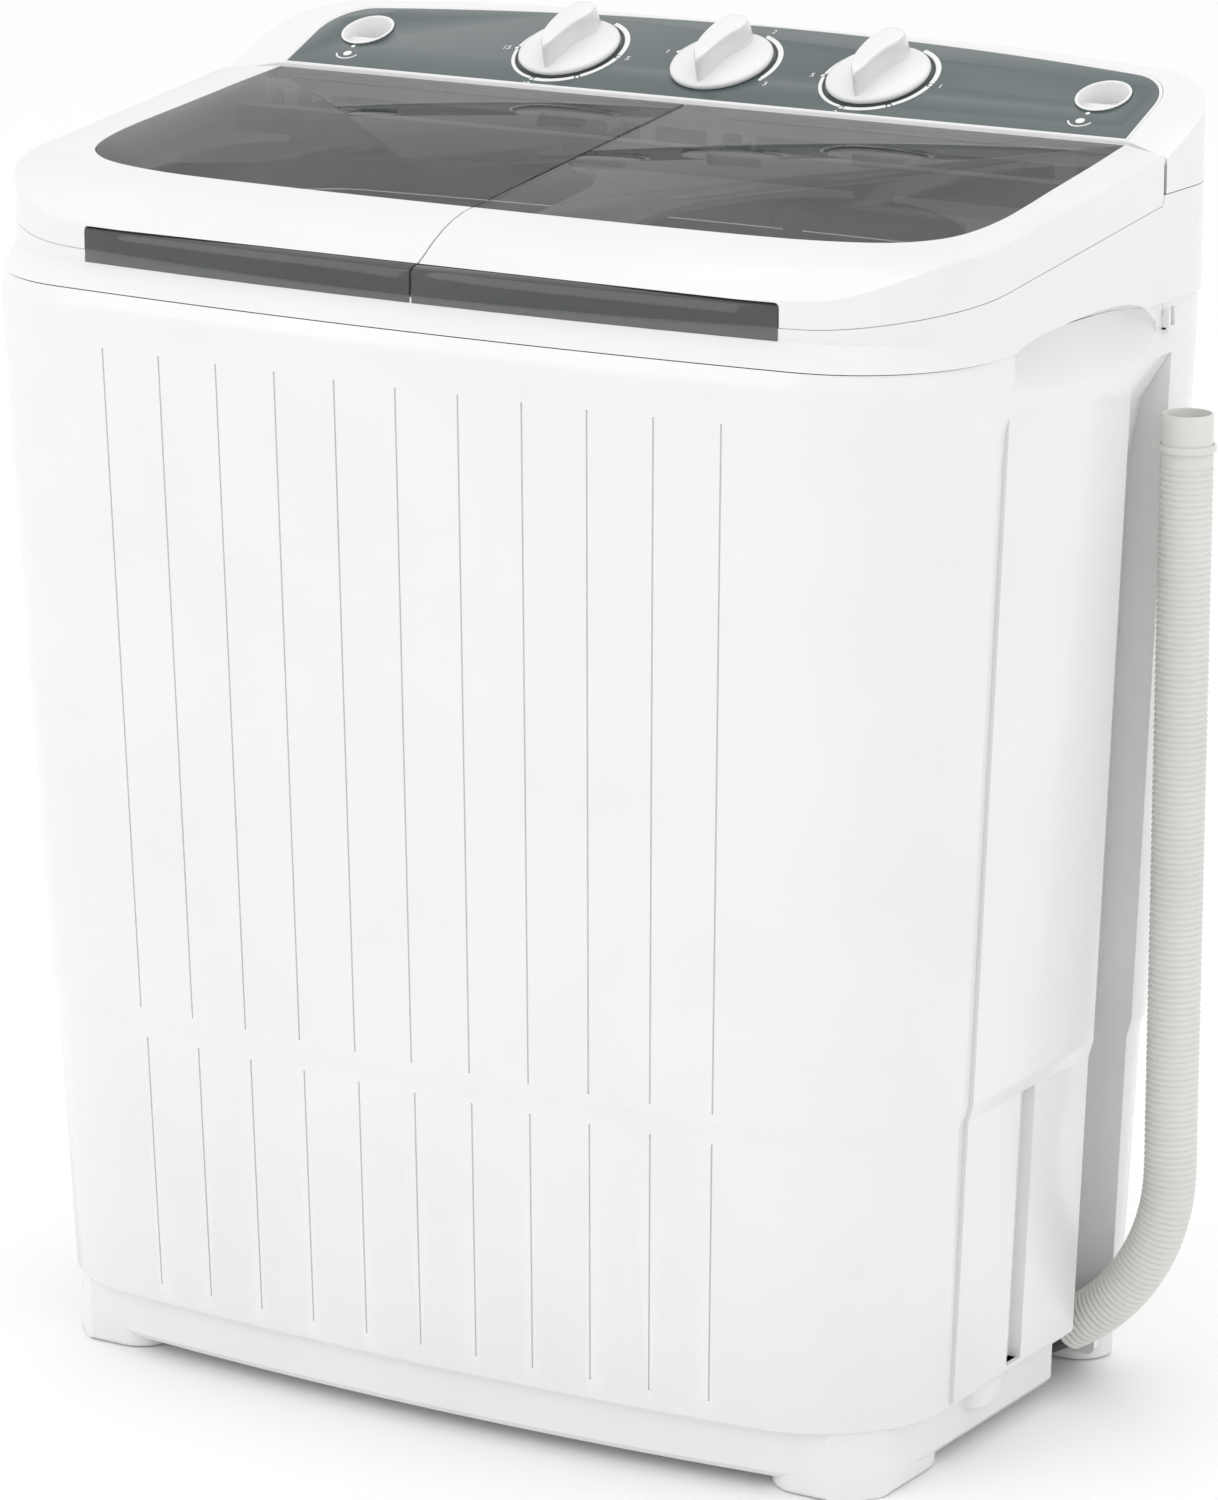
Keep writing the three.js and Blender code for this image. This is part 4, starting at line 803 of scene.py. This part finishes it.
def makeLid(side, block):
    name = "washLid" if side < 0 else "spinLid"
    s = lidSizes
    frameMade = copyOf(block, name + "Frame")
    x0, x1 = sorted((side * s["middleGap"], side * 400))
    carve(frameMade, box("half", x0, -30, 600, x1, 500, 950), "INTERSECT")
    carve(frameMade, raised("opening", windowOutline(side, 3.4, 12), 700, 900))
    rabbet = raised("rabbet", windowOutline(side, 0, 8), 700, 900)
    carve(rabbet, lidSheet(-2.6, 9), "INTERSECT")
    carve(frameMade, rabbet)
    xs = sorted(side * x for x in (0.2, 60, 120, 180, 230, grip["half"] + 0.6))
    pocket = pushed("pocket", grip["pocket"], xs, bowAt)
    roundEdges(pocket, lambda middle, a, b: abs(middle.x) > grip["half"] / 1000 and middle.y < -0.19, 3, 3)
    carve(frameMade, pocket)
    settle(frameMade, name.replace("Lid", "_lid"), "gloss_white", name.replace("Lid", "_lid_frame"))

    glass = raised(name + "Window", windowOutline(side, 0.4), 700, 900)
    carve(glass, lidSheet(-2.4, 0.05), "INTERSECT")
    softenEdges(glass, 0.5, 2, 50)
    settle(glass, name.replace("Lid", "_lid"), "tinted_clear", name.replace("Lid", "_lid_window"))

    xs = sorted(side * x for x in (0.9, 60, 120, 180, 230, grip["half"]))
    strip = pushed(name + "Grip", grip["profile"], xs, bowAt)
    softenEdges(strip, 0.5, 2, 40)
    settle(strip, name.replace("Lid", "_lid"), "tinted_clear", name.replace("Lid", "_lid_grip"),
           material=gripGlass)


gripGlass = plasticFinish("gripGlass", (0.05, 0.055, 0.056, 1), (0.06, 0.066, 0.067, 1), 0.03, 0.07, 0.0,
                          Alpha=0.72, IOR=1.7)
outerBlock = lidBlock("lidBlock", 0)
innerBlock = lidBlock("lidHollow", lidSizes["skin"])
carve(outerBlock, innerBlock)
for side in (-1, 1):
    makeLid(side, outerBlock)
bpy.data.objects.remove(outerBlock)
print("lids made")

# Hinge shelf seen through the windows: dark well with ribs and hinge barrels

shelf = {"half": 339, "front": 311.5, "rear": 364, "floor": 819, "ribRear": 334, "ribDrop": 12}
ribPlaces = [68, 185, 204, 223, 280, -287, -276, -251, -36]
barrels = {"y": 357, "z": 840, "radius": 2,
           "spans": [(-330, -318), (-60, -48), (48, 60), (318, 330), (288, 306), (-306, -288), (20, 34),
                     (-34, -20)]}


def makeHingeShelf():
    half, front, floorAt = shelf["half"], shelf["front"], shelf["floor"]
    parts = [box("hingeShelf", -half, front, floorAt - 3, half, shelf["rear"], floorAt),
             box("shelfBack", -half, 361.4, floorAt - 2, half, 364.4, 836),
             box("shelfFront", -half, front - 1.5, 812, half, front + 0.5, 838)]
    for x in ribPlaces:
        lean = -8 if x > 90 else (8 if x < -90 else 0)
        xs, ys = [x - 1, x + 1, x + 1 + lean, x - 1 + lean], [front] * 2 + [shelf["ribRear"]] * 2
        parts.append(stack("rib", 4, 2, lambda i, k: at(
            xs[i], ys[i], (floorAt - 1, lidTop(ys[i]) - shelf["ribDrop"])[k])))
    return softenEdges(joined("hingeShelf", parts), 0.4, 2, 50)


def makeBarrels():
    parts, y, z, r = [], barrels["y"], barrels["z"], barrels["radius"]
    outline = [(y + r * math.cos(a * math.pi / 10), z + r * math.sin(a * math.pi / 10)) for a in range(20)]
    for x0, x1 in barrels["spans"]:
        parts.append(pushed("barrel", outline, [x0, x1]))
        parts.append(box("barrelPost", x0 + 1, y - r, shelf["floor"] - 1, x1 - 1, y + r, z))
    return softenEdges(joined("hingeBarrels", parts), 0.5, 2, 50)


# the hinge shelf is coloured near black, as dark as the zone behind the windows
settle(makeHingeShelf(), "machine", "dark_plastic", material=shelfGrey)
settle(makeBarrels(), "machine", "satin_white")
shelfEdge = box("shelfEdge", -shelf["half"], shelf["front"] - 2.2, 836.5, shelf["half"],
                shelf["front"] - 0.4, 839)
settle(softenEdges(shelfEdge, 0.4, 2), "machine", "satin_white")

# Control housing with its sloping fascia

fascia = {"tilt": math.radians(23), "front": 365.5, "height": 859.3, "rear": 461, "half": 337, "round": 34}


def fasciaHeight(y):
    return fascia["height"] + math.tan(fascia["tilt"]) * (y - fascia["front"])


def fasciaOutline(inset=0):
    half, front, rear = fascia["half"] - inset, fascia["front"] + inset, fascia["rear"] - inset
    r = fascia["round"]

    def rearAt(x):
        return rear - 22 * (x / half) ** 2

    outline = [(-half, front), (half, front)]
    cy = rearAt(half - r) - r
    slant = math.atan(44 * (half - r) / half ** 2)
    for i in range(13):
        a = (math.pi / 2 - slant) * i / 12
        outline.append((half - r + r * math.cos(a), cy + r * math.sin(a)))
    x0 = outline[-1][0]
    for i in range(1, 24):
        x = x0 * (1 - i / 12)
        outline.append((x, rearAt(x) - (rearAt(x0) - outline[14][1])))
    for i in range(13):
        a = math.pi / 2 + slant + (math.pi / 2 - slant) * i / 12
        outline.append((r - half + r * math.cos(a), cy + r * math.sin(a)))
    return outline


def fasciaSheet(low, high):
    corners = [(340, fasciaHeight(340) + low), (480, fasciaHeight(480) + low),
               (480, fasciaHeight(480) + high), (340, fasciaHeight(340) + high)]
    return pushed("fasciaSheet", corners, [-400, 400])


def onFascia(x, y, u, v, lift):
    # a place on the fascia: u to the right, v up the slope, lift square to it
    c, s = math.cos(fascia["tilt"]), math.sin(fascia["tilt"])
    return at(x + u, y + v * c - lift * s, fasciaHeight(y) + v * s + lift * c)


def fasciaStack(name, x, y, layers):
    # layers of (outline of (u, v), lift) standing square on the fascia
    return stack(name, len(layers[0][0]), len(layers),
                 lambda i, k: onFascia(x, y, *layers[k][0][i], layers[k][1]))


def circle(radius, count=48):
    return [(radius * math.cos(2 * math.pi * i / count), radius * math.sin(2 * math.pi * i / count))
            for i in range(count)]


inlet = {"x": 295, "y": 412.5, "radius": 18.5, "gap": 0.3}
housing = {"shoulder": 12, "wall": 3, "roof": 5}


def inletHole(side):
    ring = circle(inlet["radius"] + inlet["gap"])
    return fasciaStack("inletHole", side * inlet["x"], inlet["y"], [(ring, -40), (ring, 20)])


def makeHousing():
    made = raised("panelHousing", upperOutline, 700, 1000)
    top = fasciaHeight(fascia["rear"])
    crown = [(340, 829.8), (480, 829.8), (480, top - 14), (468, top - 5), (464, top - 1.2),
             (fascia["rear"], top),
             (340, fasciaHeight(340))]
    carve(made, pushed("crown", crown, [-400, 400]), "INTERSECT")
    cheeks = [(-400, 349), (-376, 349), (-340.2, 364.8), (340.2, 364.8), (376, 349), (400, 349), (400, 500),
              (-400, 500)]
    carve(made, raised("cheeks", cheeks, 690, 1010), "INTERSECT")

    def isShoulder(middle, a, b):
        meetsWall = max(a.z, b.z) > 0.5 and min(abs(a.z), abs(b.z)) < 0.15
        return meetsWall and middle.y > 0.118 and (abs(middle.x) > 0.342 or middle.y > 0.2)
    roundEdges(made, isShoulder, housing["shoulder"], 6)
    innerPlan = planOutline(machinePlan["half"], 0, machinePlan["depth"], housing["wall"])
    inner = raised("housingInside", innerPlan, 700, 1000)
    under = [(360, 820), (463, 820), (463, top - 16), (440, fasciaHeight(440) - housing["roof"]),
             (369, fasciaHeight(369) - housing["roof"])]
    carve(inner, pushed("under", under, [-355, 355]), "INTERSECT")
    carve(made, inner)
    recess = raised("recess", fasciaOutline(), 700, 1000)
    carve(recess, fasciaSheet(-2.2, 30), "INTERSECT")
    carve(made, recess)
    for side in (-1, 1):
        carve(made, inletHole(side))
    return made


settle(makeHousing(), "machine", "gloss_white", "panel_housing")

trim = raised("fasciaTrim", fasciaOutline(0.25), 700, 1000)
carve(trim, fasciaSheet(-2, 0.25), "INTERSECT")
carve(trim, raised("trimInside", fasciaOutline(2.1), 690, 1010))
settle(softenEdges(trim, 0.3, 2, 50), "machine", "gloss_white")

plate = raised("fasciaPlate", fasciaOutline(2.2), 700, 1000)
carve(plate, fasciaSheet(-2, 0), "INTERSECT")
for side in (-1, 1):
    carve(plate, inletHole(side))
settle(softenEdges(plate, 0.3, 2, 50), "machine", "fascia_grey", "panel_fascia")

# Water inlets

def makeInlet(side, name):
    r = inlet["radius"]
    rise = [(-1.4, -15), (-0.6, -15), (-0.2, 0.3), (0.9, 0.4), (0.9, 1), (-0.9, 1.1), (-1.6, 0.4),
            (-3.2, -14)]
    layers = [(circle(r + wider), lift) for wider, lift in rise]
    cup = fasciaStack(name, side * inlet["x"], inlet["y"], layers)
    half = [(u, v) for u, v in circle(r - 1.4) if v <= 0.001]
    step = fasciaStack("inletStep", side * inlet["x"], inlet["y"], [(half, -16), (half, -5.5)])
    spout = fasciaStack("inletSpout", side * inlet["x"], inlet["y"],
                        [(circle(r - 2, 32), -30), (circle(r - 1.5, 32), -14.8)])
    return joined(name, [cup, softenEdges(step, 0.8, 2, 50), spout])


for side, which in ((-1, "wash"), (1, "spin")):
    settle(makeInlet(side, which + "InletPort"), "machine", "gloss_white", which + "_inlet_port", angle=40)

# Knobs: round base and an S-curved wing

knob = {"y": 411, "spacing": 124, "radius": 36.5, "stub": 5.4}
wingLine = [(0.5, -33.5), (3.6, -24), (5, -12), (7.5, 2), (12, 13), (13, 23), (9, 31), (1, 33.5), (-7.5, 31),
            (-11.5, 22), (-13, 8), (-12.5, -6), (-9.5, -18), (-5, -27)]


def makeKnob(name, x):
    r = knob["radius"]
    rise = [(r - 3, 0.5), (r - 0.6, 0.5), (r, 1.4), (r, 3), (r - 0.7, 4), (r - 2.4, 4.6), (r - 14, 6),
            (4, 6.6)]
    layers = [(circle(radius, 72), lift) for radius, lift in rise]
    base = fasciaStack(name, x, knob["y"], layers)
    wing = curveThrough(wingLine, 5)

    def drafted(share, shift=0):
        return [(u * share, v * share + shift) for u, v in wing]

    layersUp = [(drafted(1), 3.5), (drafted(0.985, 0.3), 9), (drafted(0.95, 0.8), 18),
                (drafted(0.93, 1), 20.2), (drafted(0.9, 1.1), 21.2), (drafted(0.84, 1.2), 21.6)]
    stub = circle(knob["stub"], 24)
    carve(base, fasciaStack("wing", x, knob["y"], layersUp), "UNION")
    carve(base, fasciaStack("stub", x, knob["y"], [(stub, -13), (stub, 1.2)]), "UNION")
    return base


for place, which in ((-1, "wash_timer"), (0, "drain_selector"), (1, "spin_timer")):
    knobMade = makeKnob(which + "Knob", place * knob["spacing"])
    settle(knobMade, which, "gloss_white", which + "_knob", angle=38)
print("housing, fascia, inlets and knobs made")

# Printed rings, dots, numerals and marks on the fascia, and a painted shadow line just outside each knob

def band(x, y, r0, r1, start, end, lift=0.12, steps=40):
    # start and end in degrees, clockwise from the top of the slope
    outline = []
    for r, order in ((r1, range(steps + 1)), (r0, range(steps, -1, -1))):
        for i in order:
            a = math.radians(start + (end - start) * i / steps)
            outline.append((r * math.sin(a), r * math.cos(a)))
    return fasciaStack("band", x, y, [(outline, 0.02), (outline, lift)])


def dot(x, y, u, v, r):
    spot = [(u + a, v + b) for a, b in circle(r, 20)]
    return fasciaStack("dot", x, y, [(spot, 0.02), (spot, 0.14)])


def numeral(text, x, y, u, v, size):
    deselectAll()
    bpy.ops.object.text_add()
    made = bpy.context.object
    made.data.body = text
    made.data.size = size
    made.data.align_x = made.data.align_y = "CENTER"
    made.data.extrude = 0.06
    bpy.ops.object.convert(target="MESH")
    made = bpy.context.object
    for vert in made.data.vertices:
        vert.co = onFascia(x, y, u + vert.co.x, v + vert.co.y, 0.08 + vert.co.z)
    return made


# angles in degrees, clockwise from the top of the slope
timerMarks = {"spans": [(22, 92), (98, 140), (146, 188), (194, 262), (268, 326)], "shadow": (22, 326),
              "dots": [95, 143, 191, 265, 329]}
selectorMarks = {"spans": [(22, 110), (286, 326)], "shadow": (20, 112), "dots": [22, 112, 284]}
numerals = {-1: (("5", 95), ("10", 191), ("15", 265)), 0: (("1", 281), ("2", 20), ("3", 115)),
            1: (("1", 95), ("3", 191), ("5", 265))}
ring = {"inner": 39.6, "wide": 43.2, "narrow": 42, "shadowIn": 37.6, "shadowOut": 38.9, "dotsAt": 42,
        "dotRadius": 1.5, "numeralsAt": (50, 49), "numeralSize": 7}


def makePrints():
    white, black = [], []
    for place in (-1, 0, 1):
        x, marks = place * knob["spacing"], timerMarks if place else selectorMarks
        for a, b in marks["spans"]:
            outer = ring["wide"] if a < 180 else ring["narrow"]
            white.append(band(x, knob["y"], ring["inner"], outer, a, b))
        # painted shadow: a black band just outside the knob, where the knob's shade falls
        black.append(band(x, knob["y"], ring["shadowIn"], ring["shadowOut"], *marks["shadow"]))
        for a in marks["dots"]:
            t = math.radians(a)
            white.append(dot(x, knob["y"], ring["dotsAt"] * math.sin(t), ring["dotsAt"] * math.cos(t),
                             ring["dotRadius"]))
    for place, texts in numerals.items():
        for text, a in texts:
            t = math.radians(a)
            u, v = ring["numeralsAt"][0] * math.sin(t), ring["numeralsAt"][1] * math.cos(t)
            white.append(numeral(text, place * knob["spacing"], knob["y"], u, v, ring["numeralSize"]))
    for side in (-1, 1):
        x = side * 294
        white += [dot(x, 392, 0, 0, 1.6), dot(x - side, 384, 0, -1, 3.2),
                  band(x - side, 385, 8.4, 9.6, 110, 250)]
    return joined("fasciaPrint", white), joined("fasciaShadowLine", black)


whiteMarks, paintedShadowBands = makePrints()
settle(whiteMarks, "machine", "gloss_white", material=whitePrint)
# the painted shadow lines round the knobs, in near-black
settle(paintedShadowBands, "machine", "dark_plastic", material=paintedKnobShadow)

# Hose hook high at the rear of the right side

hook = {"root": 372.8, "front": 350}
hookParts = [box("hoseHook", hook["root"], hook["front"], 749, 374.2, 370, 759),
             box("hookArm", hook["root"], hook["front"], 737, 378.4, 354, 753),
             box("hookTip", 374.2, 362, 741, 376.8, 366, 753),
             box("hookFloor", hook["root"], hook["front"], 739, 377, 366, 741.4)]
settle(softenEdges(joined("hoseHook", hookParts), 0.5, 2, 50), "machine", "gloss_white", "hose_hook")
print("prints and hook made")

# Plain pale floor and soft studio light

deselectAll()
bpy.ops.mesh.primitive_plane_add(size=30, location=(0, 0, -0.0005))
floor = bpy.context.object
floor.name = "studioFloor"
dress(floor, plasticFinish("paleFloor", grey(0.97), grey(0.96), 0.7, 0.8, 0.02, 0.6, 30.0))

sky = {"strength": 1.04, "patch": 0.85, "patchToward": (-0.45, 0.76, 0.47)}
world = bpy.data.worlds.new("studioSky")
world.use_nodes = True
# a slightly darker patch of sky high behind, which the lid windows mirror
skyNodes, skyLinks = world.node_tree.nodes, world.node_tree.links
skyNodes["Background"].inputs["Color"].default_value = (1, 1, 1, 1)
skyPlace = skyNodes.new("ShaderNodeTexCoord")
patchDot = skyNodes.new("ShaderNodeVectorMath")
patchDot.operation = "DOT_PRODUCT"
patchDot.inputs[1].default_value = sky["patchToward"]
patchEdge = skyNodes.new("ShaderNodeMapRange")
for socket, value in (("From Min", 0.8), ("From Max", 0.95), ("To Min", sky["strength"]),
                      ("To Max", sky["patch"])):
    patchEdge.inputs[socket].default_value = value
skyLinks.new(skyPlace.outputs["Generated"], patchDot.inputs[0])
skyLinks.new(patchDot.outputs["Value"], patchEdge.inputs["Value"])
skyLinks.new(patchEdge.outputs["Result"], skyNodes["Background"].inputs["Strength"])
scene.world = world
scene.view_settings.view_transform = "Standard"


def softLight(name, place, aim, size, power):
    deselectAll()
    bpy.ops.object.light_add(type="AREA", location=place)
    lamp = bpy.context.object
    lamp.name = name
    lamp.data.shape = "RECTANGLE"
    lamp.data.size, lamp.data.size_y = size
    lamp.data.energy = power
    lamp.rotation_euler = (Vector(aim) - Vector(place)).to_track_quat("-Z", "Y").to_euler()


# place, aim, size and power of each light
softLights = {
    "frontLight": ((-2.2, -3.6, 2.6), (0, 0, 0.45), (3.0, 2.4), 22),
    "topLight": ((0.2, 0.4, 3.6), (0, 0, 0.6), (3.2, 3.2), 14),
    "sideLight": ((3.6, -0.6, 1.8), (0, 0, 0.5), (1.6, 2.6), 3),
}
for name, values in softLights.items():
    softLight(name, *values)
print("floor and light made")
